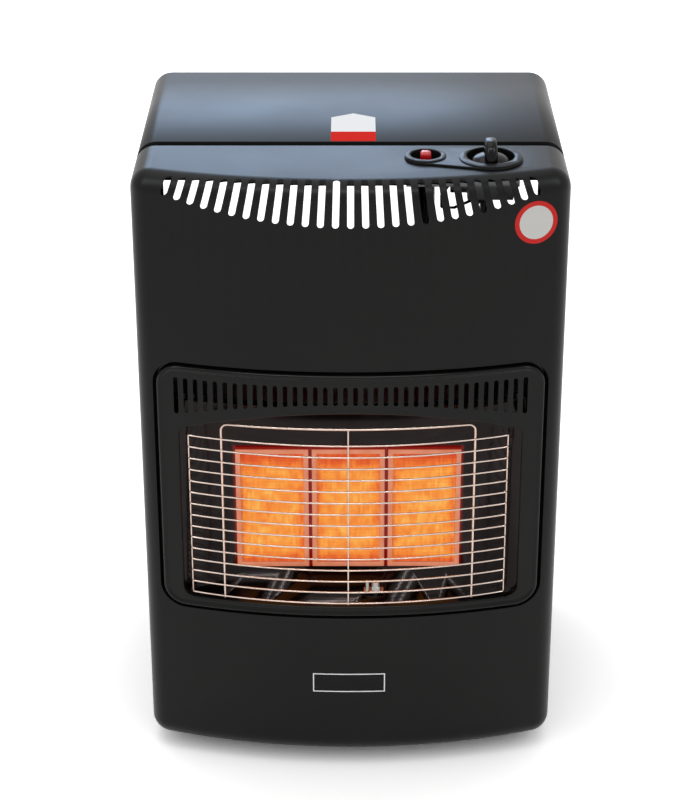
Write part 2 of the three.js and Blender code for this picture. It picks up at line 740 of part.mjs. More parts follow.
// The guard bows a little more than the cabinet: its rows stand further forward in the middle.
function makeGuard() {
  const half = guardWidth / 2;
  const radius = guardWire / 2;
  const behind = guardWire * 0.6;
  const rowDepth = (x) => THREE.MathUtils.lerp(guardMiddleRecess, guardRecess, (x / half) ** 2);
  const mouthY = bowY(half) + guardReturn + guardRecess;
  const wires = [];
  for (let row = 0; row < guardRows; row += 1) {
    const z = guardBottom + row * guardPitch;
    const points = [new THREE.Vector3(-half + innerOffset, mouthY, z)];
    for (let i = 0; i <= wireBowSteps; i += 1) {
      const x = -half + (guardWidth * i) / wireBowSteps;
      points.push(guardPoint(x, z, rowDepth(x)));
    }
    points.push(new THREE.Vector3(half + innerOffset, mouthY, z));
    wires.push(polyBar(points, radius));
  }
  const upright = half - guardWire * 0.6;
  for (const side of [-upright, upright]) {
    const ends = [guardBottom - radius, guardTop + radius].map((z) => guardPoint(side, z, guardRecess + behind));
    wires.push(polyBar(ends, radius));
  }
  const frameHalf = guardFrameWidth / 2;
  const frameDepth = rowDepth(frameHalf) + behind;
  const foot = guardBottom - guardWire;
  const middleDepth = guardMiddleRecess + behind;
  const frame = [guardPoint(-frameHalf, foot, frameDepth)];
  for (let i = 0; i <= wireBowSteps; i += 1) {
    frame.push(guardPoint(-frameHalf + (guardFrameWidth * i) / wireBowSteps, guardFrameTop, frameDepth));
  }
  frame.push(guardPoint(frameHalf, foot, frameDepth));
  wires.push(polyBar(frame, guardFrameWire / 2));
  wires.push(polyBar([
    guardPoint(0, foot, middleDepth), guardPoint(0, guardTop + 2 * guardWire, middleDepth),
    guardPoint(0, guardFrameTop + 0.2, frameDepth),
  ], radius));
  addPart('wire_guard', join(...wires), 'wire');
}

// A wire through points with mitred corners: one ring of the section at each point.
function polyBar(points, radius, sides = wireSides) {
  const rings = points.map((point, i) => {
    const before = i > 0 ? point.clone().sub(points[i - 1]).normalize() : null;
    const after = i < points.length - 1 ? points[i + 1].clone().sub(point).normalize() : null;
    const along = (before ?? after).clone().add(after ?? before).normalize();
    const stretch = 1 / Math.max(0.5, along.dot(before ?? after));
    const bend = before && after ? before.clone().cross(after) : new THREE.Vector3();
    const first = bend.length() > 1e-6 ? bend.normalize() : steadySide(along);
    const second = along.clone().cross(first).normalize();
    const steady = steadySide(along);
    return Array.from({ length: sides }, (_, k) => {
      const angle = (2 * Math.PI * (k + 0.5)) / sides;
      const across = along.clone().cross(steady).normalize();
      const offset = steady.clone().multiplyScalar(Math.cos(angle)).add(across.multiplyScalar(Math.sin(angle)));
      const inPlane = second.clone().multiplyScalar(offset.dot(second) * (stretch - 1));
      return point.clone().add(offset.add(inPlane).multiplyScalar(radius));
    });
  });
  return tube(rings);
}

// A direction square to the wire that turns slowly from one point of it to the next.
function steadySide(along) {
  const up = Math.abs(along.z) < 0.9 ? new THREE.Vector3(0, 0, 1) : new THREE.Vector3(0, -1, 0);
  return up.sub(along.clone().multiplyScalar(up.dot(along))).normalize();
}

// A closed tube through rings whose end caps are fans.
function tube(rings) {
  const count = rings[0].length;
  const points = rings.flat();
  const index = [];
  for (let ring = 0; ring < rings.length - 1; ring += 1) {
    for (let i = 0; i < count; i += 1) {
      const a = ring * count + i;
      const b = ring * count + ((i + 1) % count);
      index.push(a, b, b + count, a, b + count, a + count);
    }
  }
  const last = points.length - count;
  for (let i = 1; i < count - 1; i += 1) {
    index.push(0, i + 1, i);
    index.push(last, last + i, last + i + 1);
  }
  return closedSolid(points, index);
}

// ---- Firebox and burner ----------------------------------------------------------------------------

const mouthDepth = fieldDepth + windowFlange + clearance;
const fireboxBackY = frontY + fireboxDepth;

// A ring of the flared firebox: the mouth follows the bow and the back is flat.
function fireboxRing(grow, share) {
  const mouthHalf = windowWidth / 2 + fireboxMouthMargin;
  const half = THREE.MathUtils.lerp(mouthHalf, fireboxBackWidth / 2, share) + grow;
  const low = THREE.MathUtils.lerp(windowBottom - fireboxMouthMargin, fireboxBackBottom, share) - grow;
  const high = THREE.MathUtils.lerp(windowTop + fireboxMouthMargin, fireboxBackTop, share) + grow;
  const steps = 8;
  const points = [];
  for (let i = 0; i <= steps; i += 1) points.push([-half + (2 * half * i) / steps, low]);
  for (let i = 0; i <= steps; i += 1) points.push([half - (2 * half * i) / steps, high]);
  return points.map(([x, z]) => {
    const mouthY = bowY(Math.min(Math.abs(x), mouthHalf), mouthDepth);
    return new THREE.Vector3(x + innerOffset * share, THREE.MathUtils.lerp(mouthY, fireboxBackY, share), z);
  });
}

function makeFirebox() {
  const outer = loft([fireboxRing(0, 0), fireboxRing(0, 1)], alongXZ);
  const inner = loft([
    fireboxRing(-sheet, -0.05), fireboxRing(-sheet, 1 - sheet / fireboxDepth),
  ], alongXZ);
  const mouthHalf = windowWidth / 2 + fireboxMouthMargin;
  const low = windowBottom - fireboxMouthMargin;
  const high = windowTop + fireboxMouthMargin;
  const rim = (grow) => prismAlongY(
    roundedRectangle(-mouthHalf - grow, mouthHalf + grow, low - grow, high + grow, 3),
    frontY - 1, fireboxBackY,
  );
  const flange = rim(fireboxFlange).subtract(rim(-sheet))
    .intersect(bowSheet(mouthDepth, mouthDepth + sheet, low - fireboxFlange - 1, high + fireboxFlange + 1));
  const half = trayWidth / 2 + clearance;
  const holes = burnerNames.map((_, i) => box(
    burnerX(i) - half, burnerX(i) + half, fireboxBackY - 2 * sheet, fireboxBackY + 1,
    trayBottom - clearance, trayTop + clearance,
  ));
  const pilotHole = rod(pilotStub + 2 * clearance, low - 2, pilotFloor + 1, pilotX, pilotY);
  addPart('firebox', join(outer, flange).subtract(join(inner, pilotHole, ...holes)), 'reflector');
}

const burnerX = (i) => innerOffset + (i - (burnerCount - 1) / 2) * trayPitch;
const burnerNames = ['left', 'centre', 'right'];
const trayBackY = trayFrontY + trayDepth;
const venturiY = (fireboxBackY + trayBackY) / 2 + sheet;
const venturiBottom = trayBottom - venturiLength;

// A pressed tray with an inturned rim at the front and a mixing tube below.
function makeBurner(i) {
  const x = burnerX(i);
  const half = trayWidth / 2;
  const top = trayTop;
  const shell = box(x - half, x + half, trayFrontY, trayBackY, trayBottom, top);
  const hollow = box(
    x - half + sheet, x + half - sheet, trayFrontY + sheet, trayBackY - sheet, trayBottom + sheet, top - sheet,
  );
  const inner = half - trayRim;
  const mouth = box(
    x - inner, x + inner, trayFrontY - 1, trayFrontY + 2 * sheet, trayBottom + trayRim, top - trayRim,
  );
  const pipe = rod(venturiRadius, venturiBottom, trayBottom + sheet, x, venturiY);
  const bore = rod(venturiRadius - venturiWall, venturiBottom - 1, trayBottom + 2 * sheet, x, venturiY);
  const tray = join(shell, pipe).subtract(hollow).subtract(mouth).subtract(bore);
  addPart(`burner_tray_${burnerNames[i]}`, tray, 'tray');

  const gap = sheet + clearance;
  const front = trayFrontY + gap;
  const slab = box(
    x - half + gap, x + half - gap, front, front + plaqueThickness, trayBottom + gap, top - gap,
  );
  const field = trayRim + clearance;
  const raised = box(
    x - half + field, x + half - field, trayFrontY + plaqueRecess - sheet, front + 1,
    trayBottom + field, top - field,
  );
  addPart(`ceramic_plaque_${burnerNames[i]}`, join(slab, raised), 'ceramic');
}

// An angle strip that carries the trays on the partition.
function makeBurnerSupport(name, z, legUp) {
  const half = (trayWidth + trayPitch * (burnerCount - 1)) / 2;
  const front = trayBackY + clearance;
  const back = partitionFront - clearance;
  const leg = 12;
  const shelf = box(innerOffset - half, innerOffset + half, front, back, z, z + sheet);
  const frontLeg = box(
    innerOffset - half, innerOffset + half, front, front + sheet,
    legUp ? z : z + sheet - leg, legUp ? z + leg : z + sheet,
  );
  const backLeg = box(
    innerOffset - half, innerOffset + half, back - sheet, back, z + sheet - leg, z + leg,
  );
  addPart(name, join(shelf, frontLeg, backLeg), 'zinc');
}

const railZ = venturiBottom - railDrop + railRadius;
const bossTop = railZ + railRadius + 3;

function makeGasRail() {
  const rail = rodAlongX(railRadius, burnerX(0) - 24, feedX + railRadius + 2, venturiY, railZ);
  const bosses = burnerNames.map((_, i) => rod(railRadius * 0.7, railZ, bossTop, burnerX(i), venturiY));
  const feed = rodAlongY(railRadius * 0.8, venturiY, feedBossY, feedX, railZ);
  const foot = 14;
  const back = partitionFront - clearance;
  const arms = [-1, 1].map((side) => {
    const x = innerOffset + side * (trayPitch / 2);
    return join(
      box(x - foot / 2, x + foot / 2, venturiY, back, railZ - sheet, railZ + sheet),
      box(x - foot / 2, x + foot / 2, back - sheet, back, railZ - foot, railZ + foot),
    );
  });
  addPart('gas_rail', join(rail, feed, ...bosses, ...arms), 'zinc');
}

function makeInjector(i) {
  const bottom = bossTop + clearance;
  const top = venturiBottom - clearance;
  const neck = injectorRadius * 0.6;
  const profile = [[0, bottom], [injectorRadius, bottom], [injectorRadius, bottom + (top - bottom) * 0.6],
    [neck, top], [0, top]];
  addPart(`injector_${burnerNames[i]}`, turned(profile, burnerX(i), venturiY, 6), 'brass');
}

const feedX = innerOffset + trayPitch * (burnerCount - 1) / 2 + trayWidth / 2 + tubeRadius + 8;
const feedBossY = venturiY + railRadius + 4;

// The height of the firebox floor at a depth behind the cabinet's front.
function fireboxFloor(depth) {
  const share = (depth - mouthDepth) / (fireboxDepth - mouthDepth);
  return THREE.MathUtils.lerp(windowBottom - fireboxMouthMargin, fireboxBackBottom, share) + sheet;
}

const pilotX = innerOffset + pilotOffset;
const pilotY = frontY + pilotSetback;
const pilotFloor = fireboxFloor(pilotY + 8 - frontY) + clearance;
const pilotStubEnd = pilotFloor - 9;

// The pilot stands on the floor of the firebox behind the guard.
function makePilot() {
  const floor = pilotFloor;
  const stand = box(pilotX - 12, pilotX + 8, pilotY - 4, pilotY + 6, floor, floor + sheet);
  const block = box(pilotX - 4, pilotX + 4, pilotY - 4, pilotY + 4, floor, floor + 7);
  const head = rod(3.6, floor + 6, floor + 11, pilotX, pilotY);
  const probe = rod(1.8, floor, floor + 12, pilotX - 8.5, pilotY, 8);
  const stub = rod(pilotStub, pilotStubEnd, floor + 1, pilotX, pilotY);
  addPart('pilot_burner', join(stand, block, head, probe, stub), 'zinc');
}

// A sloped plate above the firebox that turns the hot air forwards.
function makeDeflector() {
  const half = feedX - innerOffset - tubeRadius - 6;
  const low = windowTop + fireboxMouthMargin + fireboxFlange + 8;
  const front = fireboxBackY + 2;
  const back = partitionFront - clearance;
  const rise = 52;
  const section = (x, t) => [
    [front, low], [back, low + rise], [back, low + rise + 14], [back - t, low + rise + 14],
    [back - t, low + rise + t], [front, low + t],
  ].map(([y, z]) => new THREE.Vector3(x, y, z));
  const plate = loft([section(-half, sheet), section(half, sheet)], (p) => new THREE.Vector2(p.y, p.z));
  addPart('heat_deflector', plate, 'zinc');
}

// ---- Controls -----------------------------------------------------------------------------------------

const escutcheonBottom = topZ + clearance;
const escutcheonTop = escutcheonBottom + escutcheonThickness;
const wellFloor = escutcheonTop - wellDepth - escutcheonThickness;

// A thin plate with a raised round rim at each of its two wells.
function makeEscutcheon() {
  const plateTop = escutcheonTop - escutcheonRim;
  let plate = prismAlongZ(escutcheonShape(0), escutcheonBottom, plateTop, wellSides / 2);
  const wells = [
    [knobX, knobY, knobWellRadius, knobRingRadius, spindleRadius + 1],
    [buttonX, buttonY, buttonWellRadius, buttonRingRadius, buttonStemRadius + 1],
  ];
  for (const [x, y, radius, ring] of wells) {
    plate = plate.add(rod(ring - 0.6, plateTop - 1, escutcheonTop, x, y, wellSides));
    plate = plate.add(rod(radius + wellWall, wellFloor - wellWall, escutcheonTop - 1, x, y, wellSides));
  }
  for (const [x, y, radius, , bore] of wells) {
    plate = plate.subtract(rod(radius, wellFloor, escutcheonTop + 1, x, y, wellSides));
    plate = plate.subtract(rod(bore, wellFloor - wellWall - 1, wellFloor + 1, x, y, 12));
  }
  addPart('control_escutcheon', plate, 'plastic');
}

const shelfZ = wellFloor - wellWall - clearance;
const valveTop = shelfZ - sheet - clearance;
const valveBottom = valveTop - valveHeight;

// The bracket under the deck: a shelf for the valve and the igniter, hung by two legs.
function makeControlBracket() {
  const left = buttonX - buttonWellRadius - wellWall - 3;
  const right = knobX + knobWellRadius + wellWall + 3;
  const front = knobY - valveDepth / 2 - 5;
  const back = knobY + valveDepth / 2 + 5;
  const hang = deckUnderside - clearance;
  const foot = 9;
  const shelf = box(left, right, front, back, shelfZ - sheet, shelfZ);
  const apron = box(left, right, front, front + sheet, shelfZ - sheet - 5, shelfZ);
  const legs = [
    box(left, left + sheet, front, back, shelfZ - sheet, hang),
    box(right - sheet, right, front, back, shelfZ - sheet, hang),
    box(left - foot, left + sheet, front, back, hang - sheet, hang),
    box(right - sheet, right + foot, front, back, hang - sheet, hang),
  ];
  const bracket = join(shelf, apron, ...legs)
    .subtract(rod(plungerRadius + 1.5, shelfZ - 2 * sheet, shelfZ + 1, knobX, knobY))
    .subtract(rod(buttonStemRadius + 1.5, shelfZ - 2 * sheet, shelfZ + 1, buttonX, buttonY));
  addPart('control_bracket', bracket, 'zinc');
}

const plungerTop = valveTop - 5;
const plungerBottom = plungerTop - plungerHeight;
const knobBottom = wellFloor + knobTravel + 2;
const knobDomeTop = knobBottom + knobHeight;
const feedDropX = knobX - 5;
const magnetRadius = 7.5;
const magnetEnd = knobX - valveWidth / 2 - 16;

function makeValve() {
  const half = valveWidth / 2;
  const body = box(
    knobX - half, knobX + half, knobY - valveDepth / 2, knobY + valveDepth / 2, valveBottom, valveTop,
  );
  const bossZ = (valveBottom + valveTop) / 2;
  const magnet = rodAlongX(magnetRadius, magnetEnd, knobX - half + 1, knobY, bossZ);
  const outlet = rod(
    tubeRadius + 3, valveBottom - outletLength, valveBottom + 1, feedDropX, knobY + tubeRadius, 12,
  );
  const inlet = rodAlongY(6, knobY + valveDepth / 2 - 1, knobY + valveDepth / 2 + 8, knobX + 8, bossZ, 12);
  const bore = rod(plungerRadius + clearance, plungerBottom - knobTravel - 1, valveTop + 1, knobX, knobY);
  addPart('control_valve', join(body, magnet, outlet, inlet).subtract(bore), 'aluminium');
}

function makeHoseNozzle() {
  const start = knobY + valveDepth / 2 + 8 + clearance;
  const z = (valveBottom + valveTop) / 2;
  const x = knobX + 8;
  const parts = [rodAlongY(6.5, start, start + 6, x, z, 6), rodAlongY(3.6, start, start + 30, x, z, 8)];
  for (let i = 0; i < 3; i += 1) {
    const y = start + 12 + i * 6;
    parts.push(rodAlongY(4.6, y, y + 3, x, z, 8));
  }
  addPart('hose_nozzle', join(...parts), 'brass');
}

function makePlunger() {
  addPart('valve_plunger', rod(plungerRadius, plungerBottom, plungerTop, knobX, knobY), 'brass');
}

function makeSpindle() {
  const shaft = rod(spindleRadius, plungerTop + clearance, knobDomeTop - 4, knobX, knobY);
  const flat = box(
    knobX - spindleRadius, knobX + spindleRadius, knobY + spindleRadius * 0.6, knobY + spindleRadius + 1,
    knobBottom, knobDomeTop,
  );
  addPart('valve_spindle', shaft.subtract(flat), 'brass');
}

// The knob: a low dome with an upright grip that stands out of the well.
function makeKnob() {
  const dome = turned([
    [0, knobBottom], [knobRadius, knobBottom], [knobRadius, knobBottom + 3],
    [knobRadius * 0.94, knobBottom + knobHeight * 0.55], [knobRadius * 0.76, knobBottom + knobHeight * 0.82],
    [knobRadius * 0.42, knobDomeTop - 0.6], [0, knobDomeTop],
  ], knobX, knobY, wellSides);
  const finLength = knobRadius - 1.5;
  const finBottom = knobBottom + 4;
  const finTop = knobDomeTop + knobFinHeight;
  const section = (shrink) => {
    const points = [];
    const steps = 10;
    for (let i = 0; i <= steps; i += 1) {
      const angle = Math.PI * (i / steps);
      const rise = (finTop - finBottom - shrink) * Math.sin(angle) ** 0.6;
      points.push([-(finLength - shrink) * Math.cos(angle), finBottom + rise]);
    }
    return points;
  };
  const slice = (x, shrink) => section(shrink).map(([y, z]) => new THREE.Vector3(knobX + x, knobY + y, z));
  const half = knobFinWidth / 2;
  const fin = loft([
    slice(-half, 3), slice(-half * 0.65, 0), slice(half * 0.65, 0), slice(half, 3),
  ], (p) => new THREE.Vector2(p.y, p.z));
  const bore = rod(spindleRadius + clearance, knobBottom - 1, knobDomeTop - 4 + clearance, knobX, knobY);
  addPart('control_knob', join(dome, fin).subtract(bore), 'plastic');
}

const buttonTop = topZ + buttonProud;
const buttonBottom = buttonTop - buttonHeight;
const igniterTop = shelfZ - sheet - clearance;

function makeIgniter() {
  const body = rod(igniterRadius, igniterTop - igniterLength, igniterTop, buttonX, buttonY);
  const collar = rod(igniterRadius + 2, igniterTop - 4, igniterTop, buttonX, buttonY, 6);
  const terminal = rod(2.5, igniterTop - igniterLength - 6, igniterTop - igniterLength + 1, buttonX, buttonY, 8);
  const bore = rod(buttonStemRadius + clearance, igniterTop - 18, igniterTop + 1, buttonX, buttonY, 12);
  addPart('igniter_body', join(body, collar, terminal).subtract(bore), 'plastic');
}

function makeButton() {
  const half = buttonSize / 2;
  const square = (inset, radius) => roundedRectangle(
    buttonX - half + inset, buttonX + half - inset, buttonY - half + inset, buttonY + half - inset, radius,
  );
  const head = prismAlongZ(square(0, 2), buttonBottom, buttonTop - 1.5, 2);
  const crown = prismAlongZ(square(1.2, 1.4), buttonTop - 1.6, buttonTop, 2);
  const stem = rod(buttonStemRadius, igniterTop - 11, buttonBottom + 1, buttonX, buttonY, 12);
  addPart('igniter_button', join(head, crown, stem), 'red');
}

// The pipe and the two leads run down the lane between the burner and the partition.
function makeTubes() {
  const v = (x, y, z) => new THREE.Vector3(x, y, z);
  const { lerp } = THREE.MathUtils;
  const lane = partitionFront - tubeLane;
  const outletY = knobY + tubeRadius;
  const feedTop = valveBottom - outletLength - clearance;
  const feedZ = (share) => lerp(feedTop, railZ, share);
  addPart('feed_tube', bar([
    v(feedDropX, outletY, feedTop), v(feedDropX, outletY, feedZ(0.045)),
    v(feedDropX, lane - 2 * tubeRadius, feedZ(0.17)),
    v(feedDropX, lane, feedZ(0.3)), v(feedX, lane, feedZ(0.51)), v(feedX, lane, feedZ(0.86)),
    v(feedX, lane, railZ + 4 * tubeRadius), v(feedX, lane - 0.75 * tubeRadius, railZ + 1.25 * tubeRadius),
    v(feedX, lane - 2.5 * tubeRadius, railZ), v(feedX, feedBossY + clearance, railZ),
  ], tubeRadius, 8, 24), 'zinc');

  const bossZ = (valveBottom + valveTop) / 2;
  const under = pilotStubEnd - leadRadius - clearance;
  const laneX = feedX + tubeRadius + 12;
  const sensor = magnetEnd - 1;
  const sensorZ = (share) => lerp(bossZ, under, share);
  addPart('thermocouple_lead', bar([
    v(sensor, knobY, bossZ), v(sensor - 4, knobY + 1, bossZ - 1), v(sensor - 7, knobY + 9, bossZ - 16),
    v(sensor - 3, knobY + 22, bossZ - 35), v(sensor + 24, knobY + 30, bossZ - 27),
    v(laneX - 4, knobY + 36, bossZ - 38), v(laneX, lane, sensorZ(0.25)), v(laneX, lane, sensorZ(0.6)),
    v(laneX, lane, sensorZ(0.91)), v(laneX - 2, lane - 30, under + 8), v(laneX - 22, pilotY + 24, under),
    v(pilotX + 24, pilotY + 3, under), v(pilotX - 2, pilotY, under),
  ], leadRadius, 5, 34), 'rubber');

  const outerX = laneX + 8;
  const leadTop = igniterTop - igniterLength - 6 - clearance;
  const leadZ = (share) => lerp(leadTop, under, share);
  addPart('ignition_lead', bar([
    v(buttonX, buttonY, leadTop), v(buttonX + 1, buttonY + 1, leadTop - 10),
    v(buttonX + 26, buttonY + 16, leadTop - 26),
    v(outerX - 14, buttonY + 18, leadTop - 42), v(outerX, lane - 2, leadZ(0.19)), v(outerX, lane, leadZ(0.54)),
    v(outerX, lane, leadZ(0.89)), v(outerX - 2, lane - 34, under + 2), v(outerX - 22, pilotY + 14, under - 5),
    v(pilotX + 30, pilotY - 3, under - 5), v(pilotX - 6, pilotY - 1, under - 5),
  ], leadRadius, 5, 30), 'rubber');
}

// ---- Castors -----------------------------------------------------------------------------------------------

function makeCastor(tag, x, y) {
  const forkTop = castorHeight - 6;
  const plateTop = castorHeight - clearance;
  const half = castorPlateSize / 2;
  const square = roundedRectangle(x - half, x + half, y - half, y + half, 4);
  const plate = prismAlongZ(square, plateTop - 2, plateTop, 1);
  const boss = rod(stemRadius + 5, forkTop + clearance, plateTop - 1, x, y);
  const stemBore = rod(stemRadius + clearance, forkTop - 1, plateTop - 1, x, y);
  addPart(`castor_plate_${tag}`, join(plate, boss).subtract(stemBore), 'zinc');

  const wheelY = y + castorTrail;
  const inner = wheelWidth / 2 + forkGap;
  const cheek = (side) => {
    const near = x + side * inner;
    const far = near + side * forkSheet;
    const shape = [
      [wheelY - 7, wheelRadius], [wheelY - 5, wheelRadius - 5], [wheelY, wheelRadius - 7],
      [wheelY + 5, wheelRadius - 5], [wheelY + 7, wheelRadius], [y + 9, forkTop], [y - 9, forkTop],
      [y - 9, forkTop - 5],
    ];
    const slice = (px) => shape.map(([py, pz]) => new THREE.Vector3(px, py, pz));
    return loft([slice(Math.min(near, far)), slice(Math.max(near, far))], (p) => new THREE.Vector2(p.y, p.z));
  };
  const crown = box(x - inner - forkSheet, x + inner + forkSheet, y - 9, y + 9, forkTop - forkSheet, forkTop);
  const stem = rod(stemRadius, forkTop - 1, plateTop - 2, x, y);
  const axleHalf = inner + forkSheet;
  const bore = axleRadius + clearance;
  const axleBore = rodAlongX(bore, x - axleHalf - 1, x + axleHalf + 1, wheelY, wheelRadius);
  addPart(`castor_fork_${tag}`, join(cheek(-1), cheek(1), crown, stem).subtract(axleBore), 'zinc');

  const axle = rodAlongX(axleRadius, x - axleHalf - 1, x + axleHalf + 1, wheelY, wheelRadius);
  const heads = [-1, 1].map((side) => {
    const ends = [x + side * (axleHalf + clearance), x + side * (axleHalf + 1.8)];
    return rodAlongX(axleRadius + 2, Math.min(...ends), Math.max(...ends), wheelY, wheelRadius, 8);
  });
  addPart(`castor_axle_${tag}`, join(axle, ...heads), 'zinc');

  const edge = wheelWidth / 2;
  const rim = wheelRadius / Math.cos(Math.PI / wheelSides);
  const tread = new THREE.LatheGeometry([
    [bore, -edge], [rim * 0.4, -edge], [rim * 0.6, -edge * 0.6], [rim * 0.8, -edge], [rim - 1.2, -edge],
    [rim, 1.6 - edge], [rim, edge - 1.6], [rim - 1.2, edge], [rim * 0.8, edge], [rim * 0.6, edge * 0.6],
    [rim * 0.4, edge], [bore, edge], [bore, -edge],
  ].map(([r, h]) => new THREE.Vector2(r, h)), wheelSides, Math.PI / wheelSides);
  tread.rotateZ(Math.PI / 2);
  tread.translate(x, wheelY, wheelRadius);
  addPart(`castor_wheel_${tag}`, toSolid(tread), 'rubber');
}

// ---- Assembly -----------------------------------------------------------------------------------------------

makeFrontCover();
makeRearCover();
makeRearPanel();
makeBasePan();
makePartition();
makeSurround();
makeGuard();
makeFirebox();
for (let i = 0; i < burnerCount; i += 1) makeBurner(i);
makeBurnerSupport('burner_support_upper', THREE.MathUtils.lerp(trayBottom, trayTop, 0.75), true);
makeBurnerSupport('burner_support_lower', THREE.MathUtils.lerp(trayBottom, trayTop, 0.2), false);
makeGasRail();
for (let i = 0; i < burnerCount; i += 1) makeInjector(i);
makePilot();
makeDeflector();
makeEscutcheon();
makeControlBracket();
makeValve();
makeHoseNozzle();
makePlunger();
makeSpindle();
makeKnob();
makeIgniter();
makeButton();
makeTubes();
for (const [tag, x, y] of [
  ['front_left', -castorX, castorFrontY], ['front_right', castorX, castorFrontY],
  ['rear_left', -castorX, castorRearY], ['rear_right', castorX, castorRearY],
]) {
  makeCastor(tag, x, y);
}

export default group;
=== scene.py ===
"""Visual model of a portable gas cabinet heater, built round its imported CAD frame.

Sizes in the classes are millimetres in the part's own frame: +Z up, the bowed front faces -Y
and the origin lies on the floor under the middle. Finished meshes are in metres.
"""

import logging
import math
from dataclasses import dataclass, field
from enum import Enum
from typing import Any, Callable, Sequence, Union

import bmesh
import bpy
from mathutils import Matrix, Vector


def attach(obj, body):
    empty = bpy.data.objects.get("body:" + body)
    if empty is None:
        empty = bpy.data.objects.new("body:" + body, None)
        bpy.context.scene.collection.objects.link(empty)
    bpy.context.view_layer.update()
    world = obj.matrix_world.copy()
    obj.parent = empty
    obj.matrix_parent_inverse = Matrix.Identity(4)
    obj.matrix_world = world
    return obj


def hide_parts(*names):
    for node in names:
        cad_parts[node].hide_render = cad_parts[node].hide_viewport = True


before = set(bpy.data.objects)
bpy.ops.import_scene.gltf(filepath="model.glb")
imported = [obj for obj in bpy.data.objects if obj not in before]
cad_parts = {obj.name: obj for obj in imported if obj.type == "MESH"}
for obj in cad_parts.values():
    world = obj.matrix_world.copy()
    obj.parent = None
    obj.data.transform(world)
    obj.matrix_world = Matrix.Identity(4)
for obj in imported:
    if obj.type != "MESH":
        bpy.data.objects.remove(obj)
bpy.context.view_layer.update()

MM = 0.001
MERGE = 0.002
FLAT_ANGLE = 0.5
SOFT_ANGLE = 55.0
SKIN_LIFT = 0.02
LOG = logging.getLogger("heater")

Point = tuple[float, float, float]
Pair = tuple[float, float]
Outline = list[Pair]
Number = Union["Field", float]


class Body(Enum):
    """The rigid bodies that pieces ride on."""

    CABINET = "cabinet"
    REAR_PANEL = "rear_panel"
    PLUNGER = "plunger"
    KNOB = "knob"
    BUTTON = "button"


class Slot(Enum):
    """The record's material slots."""

    CABINET = "cabinet"
    INSERT = "insert"
    PLASTIC = "plastic"
    RED = "red"
    WIRE = "wire"
    ZINC = "zinc"
    REFLECTOR = "reflector"
    TRAY = "tray"
    CERAMIC = "ceramic"
    BRASS = "brass"
    ALUMINIUM = "aluminium"
    RUBBER = "rubber"


class Cut(Enum):
    """How one solid works on another."""

    REMOVE = "DIFFERENCE"
    FUSE = "UNION"
    KEEP = "INTERSECT"


def linear(red: float, green: float, blue: float) -> tuple[float, float, float, float]:
    """Turns a display colour of 0 to 255 into the linear colour that a shader takes.

    Args:
        red: Red as it shows on a screen.
        green: Green as it shows on a screen.
        blue: Blue as it shows on a screen.

    Returns:
        The linear colour with an alpha of 1.
    """
    parts = []
    for value in (red, green, blue):
        share = value / 255.0
        parts.append(share / 12.92 if share <= 0.04045 else ((share + 0.055) / 1.055) ** 2.4)
    return (parts[0], parts[1], parts[2], 1.0)


# ---- Node trees ---------------------------------------------------------------------------


@dataclass(frozen=True)
class Field:
    """A number inside a node tree, with the usual arithmetic."""

    tree: "NodeTree"
    socket: Any

    def __add__(self, other: Number) -> "Field":
        """Adds."""
        return self.tree.math("ADD", self, other)

    def __sub__(self, other: Number) -> "Field":
        """Takes away."""
        return self.tree.math("SUBTRACT", self, other)

    def __mul__(self, other: Number) -> "Field":
        """Multiplies."""
        return self.tree.math("MULTIPLY", self, other)

    def __truediv__(self, other: Number) -> "Field":
        """Divides."""
        return self.tree.math("DIVIDE", self, other)

    def over(self, limit: Number) -> "Field":
        """Gives 1 where this is greater than the limit, and else 0."""
        return self.tree.math("GREATER_THAN", self, limit)

    def root(self) -> "Field":
        """Gives the square root."""
        return self.tree.math("SQRT", self, 0.0)

    def size(self) -> "Field":
        """Gives the value without its sign."""
        return self.tree.math("ABSOLUTE", self, 0.0)

    def ranged(self, low: float, high: float, to_low: float, to_high: float) -> "Field":
        """Carries a range of this value, clamped, to another range.

        Args:
            low: Where the range starts.
            high: Where the range ends.
            to_low: The result at the start.
            to_high: The result at the end.

        Returns:
            The carried value.
        """
        node = self.tree.node("ShaderNodeMapRange")
        self.tree.feed(node.inputs[0], self)
        for index, value in enumerate((low, high, to_low, to_high), start=1):
            node.inputs[index].default_value = value
        return Field(self.tree, node.outputs[0])


